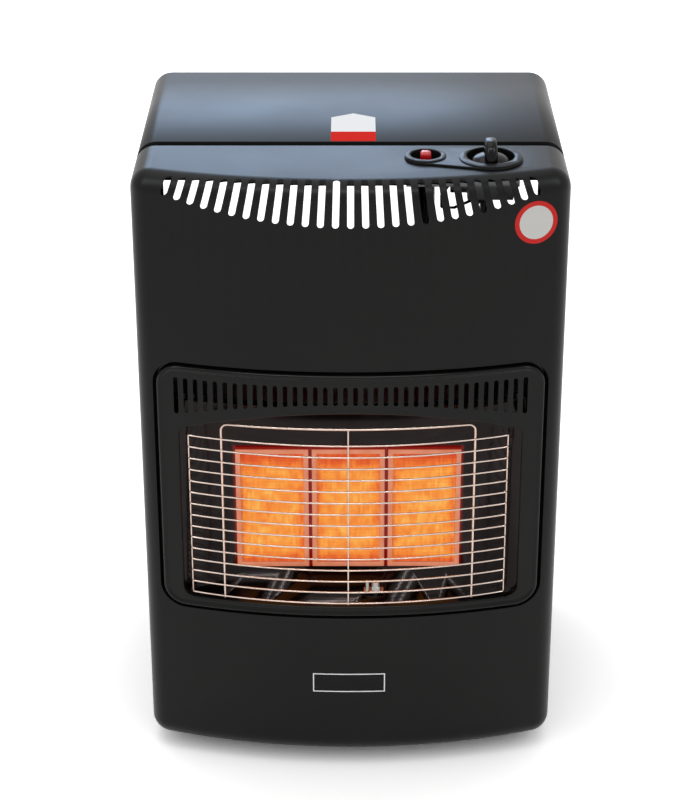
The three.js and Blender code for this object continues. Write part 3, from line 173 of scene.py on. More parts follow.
class NodeTree:
    """A node tree under construction."""

    def __init__(self, tree: bpy.types.NodeTree) -> None:
        """Keeps the tree that nodes are added to."""
        self.tree = tree

    def node(self, kind: str, **settings: Any) -> bpy.types.Node:
        """Adds a node.

        Args:
            kind: The node's type.
            **settings: Properties set on the node.

        Returns:
            The new node.
        """
        made = self.tree.nodes.new(kind)
        for name, value in settings.items():
            setattr(made, name, value)
        return made

    def feed(self, socket: bpy.types.NodeSocket, value: Any) -> None:
        """Links a field or an output to an input, or sets a constant on it.

        Args:
            socket: The input.
            value: A Field, an output socket or a constant.
        """
        if isinstance(value, Field):
            self.tree.links.new(value.socket, socket)
        elif isinstance(value, bpy.types.NodeSocket):
            self.tree.links.new(value, socket)
        else:
            socket.default_value = value

    def math(self, operation: str, first: Number, second: Number) -> Field:
        """Adds a Math node.

        Args:
            operation: The operation's identifier.
            first: The first operand.
            second: The second operand.

        Returns:
            The result.
        """
        node = self.node("ShaderNodeMath", operation=operation)
        self.feed(node.inputs[0], first)
        self.feed(node.inputs[1], second)
        return Field(self, node.outputs[0])

    def vector(self, x: Number, y: Number, z: Number) -> bpy.types.NodeSocket:
        """Joins three numbers into a vector output."""
        node = self.node("ShaderNodeCombineXYZ")
        for socket, value in zip(node.inputs, (x, y, z)):
            self.feed(socket, value)
        return node.outputs[0]

    def parts(self, vector: bpy.types.NodeSocket) -> tuple[Field, Field, Field]:
        """Splits a vector output into its three numbers."""
        node = self.node("ShaderNodeSeparateXYZ")
        self.tree.links.new(vector, node.inputs[0])
        return tuple(Field(self, output) for output in node.outputs)

    def seen_ray(self) -> Field:
        """Gives 1 for rays from the camera, a reflection or a transmission, and else 0."""
        path = self.node("ShaderNodeLightPath")
        camera, glossy, through = (
            Field(self, path.outputs[name])
            for name in ("Is Camera Ray", "Is Glossy Ray", "Is Transmission Ray")
        )
        return self.math("MAXIMUM", self.math("MAXIMUM", camera, glossy), through)


class Shader(NodeTree):
    """A procedural material under construction, on a Principled surface."""

    def __init__(self, name: str) -> None:
        """Starts a material of that name."""
        self.material = bpy.data.materials.new(name)
        self.material.use_nodes = True
        super().__init__(self.material.node_tree)
        self.surface = self.tree.nodes["Principled BSDF"]
        self.place = self.node("ShaderNodeTexCoord").outputs["Object"]

    def set(self, **values: Any) -> "Shader":
        """Sets the surface's inputs by name, with underscores for spaces.

        Args:
            **values: Fields, outputs or constants.

        Returns:
            This shader.
        """
        for name, value in values.items():
            self.feed(self.surface.inputs[name.replace("_", " ")], value)
        return self

    def noise(self, scale: float, detail: float = 2.0, stretch: Point = (1.0, 1.0, 1.0)) -> Field:
        """Adds a noise over the object's own coordinates.

        Args:
            scale: Features per metre.
            detail: Octaves.
            stretch: How much finer the noise is along each axis.

        Returns:
            The noise, around 0.5.
        """
        mapping = self.node("ShaderNodeMapping", vector_type="POINT")
        mapping.inputs["Scale"].default_value = stretch
        self.tree.links.new(self.place, mapping.inputs["Vector"])
        node = self.node("ShaderNodeTexNoise", noise_dimensions="3D")
        self.tree.links.new(mapping.outputs[0], node.inputs["Vector"])
        node.inputs["Scale"].default_value = scale
        node.inputs["Detail"].default_value = detail
        return Field(self, node.outputs[0])

    def ramp(self, factor: Field, stops: Sequence[tuple[float, Sequence[float]]], hard: bool = False) -> Any:
        """Adds a colour ramp.

        Args:
            factor: What runs along the ramp.
            stops: Positions and linear colours.
            hard: Whether colours change in steps.

        Returns:
            The colour output.
        """
        node = self.node("ShaderNodeValToRGB")
        node.color_ramp.interpolation = "CONSTANT" if hard else "LINEAR"
        elements = node.color_ramp.elements
        while len(elements) < len(stops):
            elements.new(0.5)
        for element, (position, _) in zip(elements, stops):
            element.position = position
        for element, (position, colour) in zip(elements, stops):
            element.position = position
            element.color = tuple(colour)
        self.feed(node.inputs[0], factor)
        return node.outputs[0]

    def blend(self, factor: Number, first: Any, second: Any, how: str = "MIX") -> Any:
        """Mixes two colours.

        Args:
            factor: How much of the second.
            first: A colour or a colour output.
            second: A colour or a colour output.
            how: The mix's blend type.

        Returns:
            The colour output.
        """
        node = self.node("ShaderNodeMix", data_type="RGBA", blend_type=how)
        self.feed(node.inputs[0], factor)
        self.feed(node.inputs[6], first)
        self.feed(node.inputs[7], second)
        return node.outputs[2]

    def relief(self, height: Field, strength: float, depth_mm: float) -> Any:
        """Adds a bump.

        Args:
            height: The relief, from 0 to 1.
            strength: How much of it shows.
            depth_mm: The height of the relief.

        Returns:
            The normal output.
        """
        node = self.node("ShaderNodeBump")
        node.inputs["Strength"].default_value = strength
        node.inputs["Distance"].default_value = depth_mm * MM
        self.feed(node.inputs["Height"], height)
        return node.outputs[0]


class GeometryTree(NodeTree):
    """A Geometry Nodes tree with named inputs."""

    def __init__(self, name: str, inputs: dict[str, str]) -> None:
        """Starts a tree.

        Args:
            name: The tree's name.
            inputs: Input names and their socket types.
        """
        group = bpy.data.node_groups.new(name, "GeometryNodeTree")
        super().__init__(group)
        group.is_modifier = True
        group.interface.new_socket("Geometry", in_out="INPUT", socket_type="NodeSocketGeometry")
        group.interface.new_socket("Geometry", in_out="OUTPUT", socket_type="NodeSocketGeometry")
        self.identifiers: dict[str, str] = {}
        for label, kind in inputs.items():
            item = group.interface.new_socket(label, in_out="INPUT", socket_type=kind)
            self.identifiers[label] = item.identifier
        self.source = self.node("NodeGroupInput")
        self.sink = self.node("NodeGroupOutput")

    def value(self, label: str) -> Field:
        """Gives an input of the tree as a field."""
        return Field(self, self.source.outputs[label])

    def close(self, geometry: bpy.types.NodeSocket) -> None:
        """Ends the tree in Realize Instances and Set Material.

        Args:
            geometry: What comes out of the last working node.
        """
        realize = self.node("GeometryNodeRealizeInstances")
        self.tree.links.new(geometry, realize.inputs[0])
        paint = self.node("GeometryNodeSetMaterial")
        self.tree.links.new(realize.outputs[0], paint.inputs["Geometry"])
        self.tree.links.new(self.source.outputs["Material"], paint.inputs["Material"])
        self.tree.links.new(paint.outputs[0], self.sink.inputs[0])

    def grow(self, seed: bpy.types.Object, values: dict[str, Any]) -> bpy.types.Mesh:
        """Runs the tree on an object and gives the result as a plain mesh.

        Args:
            seed: The object whose geometry goes in; it is removed afterwards.
            values: The inputs' values by name.

        Returns:
            The made mesh.
        """
        modifier = seed.modifiers.new("grow", "NODES")
        modifier.node_group = self.tree
        for label, value in values.items():
            modifier[self.identifiers[label]] = value
        mesh = evaluated_mesh(seed)
        discard(seed)
        return mesh


def evaluated_mesh(item: bpy.types.Object) -> bpy.types.Mesh:
    """Gives a plain copy of an object's mesh with its modifiers applied."""
    bpy.context.view_layer.update()
    graph = bpy.context.evaluated_depsgraph_get()
    return bpy.data.meshes.new_from_object(item.evaluated_get(graph))


def discard(item: bpy.types.Object) -> None:
    """Removes an object and the data it held."""
    data = item.data
    bpy.data.objects.remove(item)
    if isinstance(data, bpy.types.Mesh):
        bpy.data.meshes.remove(data)
    elif isinstance(data, bpy.types.Curve):
        bpy.data.curves.remove(data)


# ---- Finishes -----------------------------------------------------------------------------


@dataclass(frozen=True)
class Finish:
    """A surface finish: a colour that varies a little, with its gloss and its relief."""

    name: str
    colour: Point
    second: Point
    roughness: float
    metallic: float = 0.0
    specular: float = 0.5
    patch_scale: float = 14.0
    grain_scale: float = 1300.0
    grain_depth: float = 0.05
    grain_strength: float = 0.25
    roughness_swing: float = 0.06
    stretch: Point = (1.0, 1.0, 1.0)

    def build(self) -> bpy.types.Material:
        """Makes the material.

        Returns:
            The finished material.
        """
        shader = Shader(self.name)
        patches = shader.noise(self.patch_scale, 3.0)
        grain = shader.noise(self.grain_scale, 2.0, self.stretch)
        mixed = (patches * 0.7 + grain * 0.3).ranged(0.3, 0.7, 0.0, 1.0)
        colour = shader.blend(mixed, linear(*self.colour), linear(*self.second))
        rough = patches.ranged(
            0.3, 0.7, self.roughness - self.roughness_swing, self.roughness + self.roughness_swing
        )
        shader.set(
            Base_Color=colour,
            Roughness=rough,
            Metallic=self.metallic,
            Specular_IOR_Level=self.specular,
            Normal=shader.relief(grain, self.grain_strength, self.grain_depth),
        )
        return shader.material


@dataclass(frozen=True)
class SpangledZinc:
    """Zinc-coated sheet with the flat crystals that the coating shows."""

    name: str = "zinc_sheet"
    crystal_scale: float = 130.0
    roughness: float = 0.42

    def build(self) -> bpy.types.Material:
        """Makes the material.

        Returns:
            The finished material.
        """
        shader = Shader(self.name)
        cells = shader.node("ShaderNodeTexVoronoi", feature="F1")
        shader.tree.links.new(shader.place, cells.inputs["Vector"])
        cells.inputs["Scale"].default_value = self.crystal_scale
        tone = Field(shader, shader.parts(cells.outputs["Color"])[0].socket)
        fine = shader.noise(900.0)
        colour = shader.blend(tone, linear(139, 143, 146), linear(176, 179, 181))
        shader.set(
            Base_Color=colour,
            Roughness=tone.ranged(0.0, 1.0, self.roughness - 0.08, self.roughness + 0.08),
            Metallic=0.9,
            Normal=shader.relief(fine, 0.2, 0.04),
        )
        return shader.material


@dataclass(frozen=True)
class GlowingCeramic:
    """Perforated ceramic at a bright orange heat, redder along its top and its edges."""

    name: str = "glowing_ceramic"
    pitch: float = 77.4
    centre: float = -2.4
    half_width: float = 31.7
    low: float = 211.3
    high: float = 335.7
    face_y: float = -114.7
    pit_depth: float = 1.0

    def build(self) -> bpy.types.Material:
        """Makes the material.

        Returns:
            The finished material.
        """
        shader = Shader(self.name)
        x, y, z = shader.parts(shader.place)
        patches = shader.noise(90.0, 3.0)
        streaks = shader.noise(420.0, 1.0, (1.0, 1.0, 0.15))
        specks = shader.noise(700.0, 0.0)
        across = (x - (self.centre - self.pitch / 2) * MM) / (self.pitch * MM)
        inside = (shader.math("FRACT", across, 0.0) - 0.5).size() * self.pitch
        edge = inside.ranged(self.half_width - 8.0, self.half_width, 0.0, 0.5)
        top = z.ranged((self.high - 20.0) * MM, (self.high - 3.0) * MM, 0.0, 1.0)
        foot = z.ranged((self.low + 13.0) * MM, (self.low + 2.0) * MM, 0.0, 0.8)
        cool = shader.math("MAXIMUM", shader.math("MAXIMUM", edge, top), foot)
        heat = patches.ranged(0.32, 0.68, -0.16, 0.16) + streaks.ranged(0.35, 0.65, -0.12, 0.12)
        heat = heat + 0.74 - cool * 0.6
        web = shader.ramp(heat, [
            (0.0, linear(222, 70, 30)), (0.3, linear(238, 104, 44)), (0.6, linear(250, 146, 58)),
            (0.82, linear(255, 172, 74)), (1.0, linear(255, 202, 104)),
        ])
        pit = shader.ramp(specks * 0.6 + heat * 0.4, [
            (0.3, linear(120, 34, 10)), (0.5, linear(172, 66, 20)), (0.72, linear(222, 118, 42)),
        ])
        # depth runs from the face into the pits; along it the base colour darkens as painted shade in the
        # holes.
        depth = y.ranged(self.face_y * MM, (self.face_y + self.pit_depth) * MM, 0.0, 1.0)
        shader.set(
            Base_Color=shader.blend(depth, linear(96, 58, 44), linear(40, 22, 16)),
            Roughness=specks.ranged(0.3, 0.7, 0.82, 0.95),
            Specular_IOR_Level=0.1,
            Emission_Color=shader.blend(depth, web, pit),
            Emission_Strength=1.0,
        )
        return shader.material


@dataclass(frozen=True)
class TrayWithPaintedGlow:
    """Steel round the burning ceramic, its base colour warmer towards the front, with the plaques' glow
    painted on as emission: salmon on its front rim, deep red down its sides.
    """

    name: str = "tray_painted_glow"
    front_y: float = -115.0
    rim_depth: float = 1.1
    warm_front_depth: float = 9.0

    def build(self) -> bpy.types.Material:
        """Makes the material.

        Returns:
            The finished material.
        """
        shader = Shader(self.name)
        _, y, _ = shader.parts(shader.place)
        patches = shader.noise(60.0, 3.0)
        grain = shader.noise(1500.0)
        # Painted glow of the plaques on the tray's front rim, salmon.
        rim = shader.blend(patches.ranged(0.3, 0.7, 0.0, 1.0), linear(196, 108, 74), linear(214, 132, 100))
        depth = y.ranged((self.front_y + 0.4) * MM, (self.front_y + self.rim_depth) * MM, 0.0, 1.0)
        fade = y.ranged((self.front_y + 4.0) * MM, (self.front_y + self.warm_front_depth) * MM, 0.0, 1.0)
        # Painted glow of the plaques down the tray's sides, deep red, fading towards the back.
        side = shader.blend(fade, linear(132, 12, 7), (0.0, 0.0, 0.0, 1.0))
        shader.set(
            Base_Color=shader.blend(fade, linear(120, 84, 68), linear(92, 88, 84)),
            Metallic=0.4,
            Roughness=grain.ranged(0.3, 0.7, 0.5, 0.62),
            Emission_Color=shader.blend(depth, rim, side),
            Emission_Strength=0.9,
            Normal=shader.relief(grain, 0.2, 0.04),
        )
        return shader.material


@dataclass(frozen=True)
class ScorchedReflectorWithPaintedGlow:
    """The firebox's heat-stained sheet, dark brown, with a deep red painted glow of the plaques round the
    trays.
    """

    name: str = "scorched_reflector_painted_glow"
    centre_x: float = -2.4
    centre_z: float = 273.5
    half_width: float = 114.4
    half_height: float = 67.5
    painted_glow_width: float = 3.6

    def build(self) -> bpy.types.Material:
        """Makes the material.

        Returns:
            The finished material.
        """
        shader = Shader(self.name)
        x, _, z = shader.parts(shader.place)
        beside = (x - self.centre_x * MM).size() - self.half_width * MM
        above = (z - self.centre_z * MM).size() - self.half_height * MM
        # Painted glow: deep red emission next to the trays, standing in for the plaques' light on the wall.
        near = shader.math("MAXIMUM", beside, above).ranged(0.0, self.painted_glow_width * MM, 1.0, 0.0)
        stains = shader.noise(24.0, 4.0)
        grain = shader.noise(800.0, 2.0, (0.08, 1.0, 1.0))
        shader.set(
            Base_Color=shader.blend(stains.ranged(0.3, 0.7, 0.0, 1.0), linear(28, 19, 17), linear(15, 10, 9)),
            Metallic=0.7,
            Roughness=stains.ranged(0.3, 0.7, 0.13, 0.22),
            Emission_Color=shader.blend(near, (0.0, 0.0, 0.0, 1.0), linear(126, 10, 6)),
            Emission_Strength=1.0,
            Normal=shader.relief(grain, 0.25, 0.03),
        )
        return shader.material


@dataclass(frozen=True)
class PrintedRing:
    """A pale round sticker with a coloured ring, drawn on the piece's own UV map."""

    name: str = "round_sticker"
    ring: Point = (216, 54, 50)
    field_colour: Point = (216, 215, 211)
    inner: float = 0.392

    def build(self) -> bpy.types.Material:
        """Makes the material.

        Returns:
            The finished material.
        """
        shader = Shader(self.name)
        uv = shader.node("ShaderNodeUVMap", uv_map="face").outputs[0]
        u, v, _ = shader.parts(uv)
        radius = ((u - 0.5) * (u - 0.5) + (v - 0.5) * (v - 0.5)).root()
        fibre = shader.noise(2600.0)
        paper = shader.blend(
            fibre.ranged(0.3, 0.7, 0.0, 1.0),
            linear(*self.field_colour),
            linear(*(part - 9 for part in self.field_colour)),
        )
        ring = shader.blend(
            fibre.ranged(0.3, 0.7, 0.0, 1.0), linear(*self.ring), linear(*(c * 0.93 for c in self.ring))
        )
        shader.set(
            Base_Color=shader.blend(radius.over(self.inner), paper, ring),
            Roughness=fibre.ranged(0.3, 0.7, 0.4, 0.5),
            Specular_IOR_Level=0.04,
            Normal=shader.relief(fibre, 0.15, 0.02),
        )
        return shader.material


@dataclass(frozen=True)
class PrintedBand:
    """A bare white label with a plain red band along its front, drawn on its own UV map."""

    name: str = "top_label"
    band: float = 0.335

    def build(self) -> bpy.types.Material:
        """Makes the material.

        Returns:
            The finished material.
        """
        shader = Shader(self.name)
        uv = shader.node("ShaderNodeUVMap", uv_map="face").outputs[0]
        _, v, _ = shader.parts(uv)
        fibre = shader.noise(2600.0)
        tone = fibre.ranged(0.3, 0.7, 0.0, 1.0)
        paper = shader.blend(tone, linear(236, 238, 240), linear(228, 231, 234))
        red = shader.blend(tone, linear(216, 50, 44), linear(204, 44, 40))
        shader.set(
            Base_Color=shader.blend(v.over(self.band), red, paper),
            Roughness=fibre.ranged(0.3, 0.7, 0.4, 0.5),
            Specular_IOR_Level=0.0,
            Normal=shader.relief(fibre, 0.15, 0.02),
        )
        return shader.material


@dataclass
class FinishBook:
    """Every finish of the heater, made once."""

    coat: Finish = Finish(
        "charcoal_powder_coat", (16, 16, 16), (21, 21, 20), 0.33, specular=0.13,
        patch_scale=9.0, grain_scale=1500.0, grain_depth=0.05, grain_strength=0.3, roughness_swing=0.03,
    )
    enamel: Finish = Finish(
        "black_enamel", (15, 14, 13), (20, 19, 18), 0.15, specular=0.15,
        patch_scale=20.0, grain_scale=650.0, grain_depth=0.03, grain_strength=0.12, roughness_swing=0.03,
    )
    wire: Finish = Finish(
        "plated_wire", (206, 190, 180), (190, 168, 156), 0.24, metallic=1.0,
        patch_scale=45.0, grain_scale=2600.0, grain_depth=0.02, grain_strength=0.2, roughness_swing=0.05,
    )
    plastic: Finish = Finish(
        "moulded_black", (9, 9, 10), (13, 13, 14), 0.16, specular=0.16,
        patch_scale=60.0, grain_scale=1800.0, grain_depth=0.02, grain_strength=0.12, roughness_swing=0.03,
    )
    satin: Finish = Finish(
        "satin_black", (16, 16, 17), (21, 21, 22), 0.3, specular=0.12,
        patch_scale=60.0, grain_scale=1800.0, grain_depth=0.03, grain_strength=0.2, roughness_swing=0.03,
    )
    red: Finish = Finish(
        "moulded_red", (204, 20, 30), (190, 14, 24), 0.26, specular=0.5,
        patch_scale=120.0, grain_scale=2200.0, grain_depth=0.02, grain_strength=0.15, roughness_swing=0.04,
    )
    brass: Finish = Finish(
        "turned_brass", (196, 158, 82), (176, 136, 64), 0.34, metallic=1.0,
        patch_scale=80.0, grain_scale=2400.0, grain_depth=0.03, grain_strength=0.3, stretch=(1.0, 1.0, 6.0),
    )
    casting: Finish = Finish(
        "cast_aluminium", (170, 172, 170), (150, 153, 152), 0.5, metallic=0.9,
        patch_scale=70.0, grain_scale=1200.0, grain_depth=0.08, grain_strength=0.5,
    )
    rubber: Finish = Finish(
        "matt_rubber", (26, 26, 27), (34, 34, 34), 0.8, specular=0.3,
        patch_scale=50.0, grain_scale=1700.0, grain_depth=0.05, grain_strength=0.4,
    )
    tread: Finish = Finish(
        "wheel_nylon", (30, 30, 32), (38, 38, 40), 0.48, specular=0.4,
        patch_scale=50.0, grain_scale=1500.0, grain_depth=0.04, grain_strength=0.3,
    )
    foil: Finish = Finish(
        "silver_edge", (214, 215, 217), (198, 200, 203), 0.3, metallic=0.85,
        patch_scale=60.0, grain_scale=2500.0, grain_depth=0.02, grain_strength=0.2,
    )
    plate: Finish = Finish(
        "badge_field", (15, 15, 16), (19, 19, 20), 0.3, specular=0.12,
        patch_scale=60.0, grain_scale=2500.0, grain_depth=0.02, grain_strength=0.2,
    )
    steel: Finish = Finish(
        "bright_steel", (190, 188, 184), (172, 170, 167), 0.34, metallic=0.95,
        patch_scale=60.0, grain_scale=2000.0, grain_depth=0.03, grain_strength=0.3,
    )
    zinc: SpangledZinc = SpangledZinc()
    ceramic: GlowingCeramic = GlowingCeramic()
    tray: TrayWithPaintedGlow = TrayWithPaintedGlow()
    reflector: ScorchedReflectorWithPaintedGlow = ScorchedReflectorWithPaintedGlow()
    sticker: PrintedRing = PrintedRing()
    label: PrintedBand = PrintedBand()
    made: dict[str, bpy.types.Material] = field(default_factory=dict)

    def material(self, key: str) -> bpy.types.Material:
        """Gives a finish's material, made at its first use.

        Args:
            key: The finish's field name.

        Returns:
            The material.
        """
        if key not in self.made:
            self.made[key] = getattr(self, key).build()
        return self.made[key]


# ---- Solids -------------------------------------------------------------------------------


def ring_mesh(
    rings: Sequence[Sequence[Point]], capped: bool = True, looped: bool = False
) -> bmesh.types.BMesh:
    """Joins rings of points into a skin.

    Args:
        rings: Rings of equal count, each closed on itself.
        capped: Whether the end rings are filled.
        looped: Whether the last ring joins the first.

    Returns:
        The skin, with its faces pointing outwards.
    """
    skin = bmesh.new()
    rows = [[skin.verts.new(point) for point in ring] for ring in rings]
    spans = list(zip(rows, rows[1:])) + ([(rows[-1], rows[0])] if looped else [])
    for first, second in spans:
        for index in range(len(first)):
            after = (index + 1) % len(first)
            skin.faces.new((first[index], first[after], second[after], second[index]))
    if capped and not looped:
        skin.faces.new(rows[0][::-1])
        skin.faces.new(rows[-1])
    bmesh.ops.recalc_face_normals(skin, faces=skin.faces)
    return skin


class Blank:
    """A closed solid being worked, in millimetres until it is finished."""

    def __init__(self, skin: bmesh.types.BMesh) -> None:
        """Takes a skin over as a solid."""
        mesh = bpy.data.meshes.new("blank")
        skin.to_mesh(mesh)
        skin.free()
        self.item = bpy.data.objects.new("blank", mesh)
        bpy.context.scene.collection.objects.link(self.item)

    @classmethod
    def from_mesh(cls, mesh: bpy.types.Mesh) -> "Blank":
        """Takes a plain mesh over as a solid."""
        skin = bmesh.new()
        skin.from_mesh(mesh)
        bpy.data.meshes.remove(mesh)
        return cls(skin)

    def work(self, how: Cut, *others: "Blank") -> "Blank":
        """Cuts, joins or keeps the common part of this solid and others.

        Args:
            how: What the others do to this solid.
            *others: The other solids, which are used up.

        Returns:
            This solid.
        """
        for other in others:
            modifier = self.item.modifiers.new("work", "BOOLEAN")
            modifier.operation = how.value
            modifier.solver = "MANIFOLD"
            modifier.object = other.item
            self.apply()
            discard(other.item)
        return self

    def apply(self) -> None:
        """Applies the modifiers to the mesh."""
        mesh = evaluated_mesh(self.item)
        self.item.modifiers.clear()
        old = self.item.data
        self.item.data = mesh
        bpy.data.meshes.remove(old)

    def remove(self, *others: "Blank") -> "Blank":
        """Cuts others out of this solid."""
        return self.work(Cut.REMOVE, *others)

    def fuse(self, *others: "Blank") -> "Blank":
        """Joins others to this solid."""
        return self.work(Cut.FUSE, *others)

    def keep(self, *others: "Blank") -> "Blank":
        """Keeps what this solid shares with others."""
        return self.work(Cut.KEEP, *others)

    def add(self, *others: "Blank") -> "Blank":
        """Puts others into the same mesh as they are."""
        skin = bmesh.new()
        skin.from_mesh(self.item.data)
        for other in others:
            skin.from_mesh(other.item.data)
            discard(other.item)
        skin.to_mesh(self.item.data)
        skin.free()
        return self

    def soften(self, width: float, segments: int = 2, angle: float = 50.0) -> "Blank":
        """Rounds the sharp edges.

        Args:
            width: The bevel's width in millimetres.
            segments: How many faces go round an edge.
            angle: Edges sharper than this many degrees are rounded.

        Returns:
            This solid.
        """
        modifier = self.item.modifiers.new("soften", "BEVEL")
        modifier.width = width
        modifier.segments = segments
        modifier.limit_method = "ANGLE"
        modifier.angle_limit = math.radians(angle)
        modifier.use_clamp_overlap = True
        self.apply()
        return self

    def mesh(self) -> bpy.types.Mesh:
        """Gives the mesh in metres and drops the working object."""
        mesh = self.item.data
        bpy.data.objects.remove(self.item)
        mesh.transform(Matrix.Scale(MM, 4))
        return mesh


@dataclass
class Maker:
    """Turns meshes into finished pieces that ride on their bodies."""

    book: FinishBook

    def finish(
        self,
        name: str,
        solid: Union[Blank, bpy.types.Mesh],
        finish: str,
        slot: Slot,
        body: Union[Body, str] = Body.CABINET,
        replaces: Sequence[str] = (),
        angle: float = 38.0,
        flat: bool = False,
    ) -> bpy.types.Object:
        """Makes a piece of a solid.

        Args:
            name: The piece's name.
            solid: The worked solid, or a mesh in metres.
            finish: The finish's name in the book.
            slot: The record's material slot; not used.
            body: The body that the piece rides on.
            replaces: CAD nodes that it stands for.
            angle: Edges sharper than this many degrees stay crisp.
            flat: Whether every face is shaded flat.

        Returns:
            The piece.
        """
        mesh = solid.mesh() if isinstance(solid, Blank) else solid
        mesh.name = name
        if not flat:
            mesh.shade_smooth()
            mesh.set_sharp_from_angle(angle=math.radians(angle))
        mesh.materials.clear()
        mesh.materials.append(self.book.material(finish))
        piece = bpy.data.objects.new(name, mesh)
        bpy.context.scene.collection.objects.link(piece)
        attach(piece, body.value if isinstance(body, Body) else body)
        if replaces:
            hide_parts(*replaces)
        LOG.info("%s: %d faces, %s, on %s", name, len(mesh.polygons), finish, body)
        return piece

    def refine(
        self,
        node: str,
        finish: str,
        slot: Slot,
        body: Union[Body, str] = Body.CABINET,
        edge: float = 0.25,
        angle: float = 38.0,
    ) -> bpy.types.Object:
        """Makes a cleaned copy of a CAD node with softened edges.

        Args:
            node: The CAD node.
            finish: The finish's name in the book.
            slot: The record's material slot.
            body: The body that the node belongs to.
            edge: The width of the softened edges in millimetres; 0 leaves them.
            angle: Edges sharper than this many degrees stay crisp.

        Returns:
            The piece.
        """
        skin = bmesh.new()
        skin.from_mesh(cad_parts[node].data)
        bmesh.ops.scale(skin, vec=(1 / MM, 1 / MM, 1 / MM), verts=skin.verts)
        bmesh.ops.remove_doubles(skin, verts=skin.verts, dist=MERGE)
        bmesh.ops.dissolve_limit(
            skin, angle_limit=math.radians(FLAT_ANGLE), verts=skin.verts, edges=skin.edges,
            use_dissolve_boundaries=False,
        )
        solid = Blank(skin)
        if edge > 0.0:
            solid.soften(edge, 1, SOFT_ANGLE)
        return self.finish(f"{node}_finished", solid, finish, slot, body, (node,), angle)


# ---- Outlines -----------------------------------------------------------------------------


def arc_fall(radius: float, distance: float) -> float:
    """How far a circle's arc falls from its crown at a distance from the middle."""
    return radius - math.sqrt(radius * radius - distance * distance)


def rounded_rectangle(
    low_x: float, high_x: float, low_y: float, high_y: float, radius: float, steps: int = 10
) -> Outline:
    """Gives the outline of a rectangle with round corners.

    Args:
        low_x: Its left side.
        high_x: Its right side.
        low_y: Its lower side.
        high_y: Its upper side.
        radius: The corners' radius.
        steps: Edges per corner.

    Returns:
        The outline, counter-clockwise.
    """
    corners = (
        (high_x - radius, low_y + radius, -90.0), (high_x - radius, high_y - radius, 0.0),
        (low_x + radius, high_y - radius, 90.0), (low_x + radius, low_y + radius, 180.0),
    )
    outline = []
    for x, y, start in corners:
        for step in range(steps + 1):
            turn = math.radians(start + 90.0 * step / steps)
            outline.append((x + radius * math.cos(turn), y + radius * math.sin(turn)))
    return outline


def circle(x: float, y: float, radius: float, steps: int = 48) -> Outline:
    """Gives a circle's outline."""
    turns = [2 * math.pi * step / steps for step in range(steps)]
    return [(x + radius * math.cos(turn), y + radius * math.sin(turn)) for turn in turns]


def prism_y(outline: Outline, low: float, high: float) -> Blank:
    """Carries an outline in X and Z along Y."""
    return Blank(ring_mesh([[(x, y, z) for x, z in outline] for y in (low, high)]))


def prism_z(outline: Outline, low: float, high: float) -> Blank:
    """Carries an outline in X and Y along Z."""
    return Blank(ring_mesh([[(x, y, z) for x, y in outline] for z in (low, high)]))


def block(low_x: float, high_x: float, low_y: float, high_y: float, low_z: float, high_z: float) -> Blank:
    """Gives a box between its sides."""
    return prism_z([(low_x, low_y), (high_x, low_y), (high_x, high_y), (low_x, high_y)], low_z, high_z)


def lathe(profile: Sequence[Pair], x: float, y: float, steps: int = 48) -> Blank:
    """Turns a closed or axis-to-axis profile of radius and height about a vertical axis.

    Args:
        profile: Radius and height pairs from the foot to the top.
        x: The axis's place.
        y: The axis's place.
        steps: Edges round the axis.

    Returns:
        The solid.
    """
    rings = [[(px, py, z) for px, py in circle(x, y, max(radius, 0.01), steps)] for radius, z in profile]
    return Blank(ring_mesh(rings))


# ---- Cabinet ------------------------------------------------------------------------------


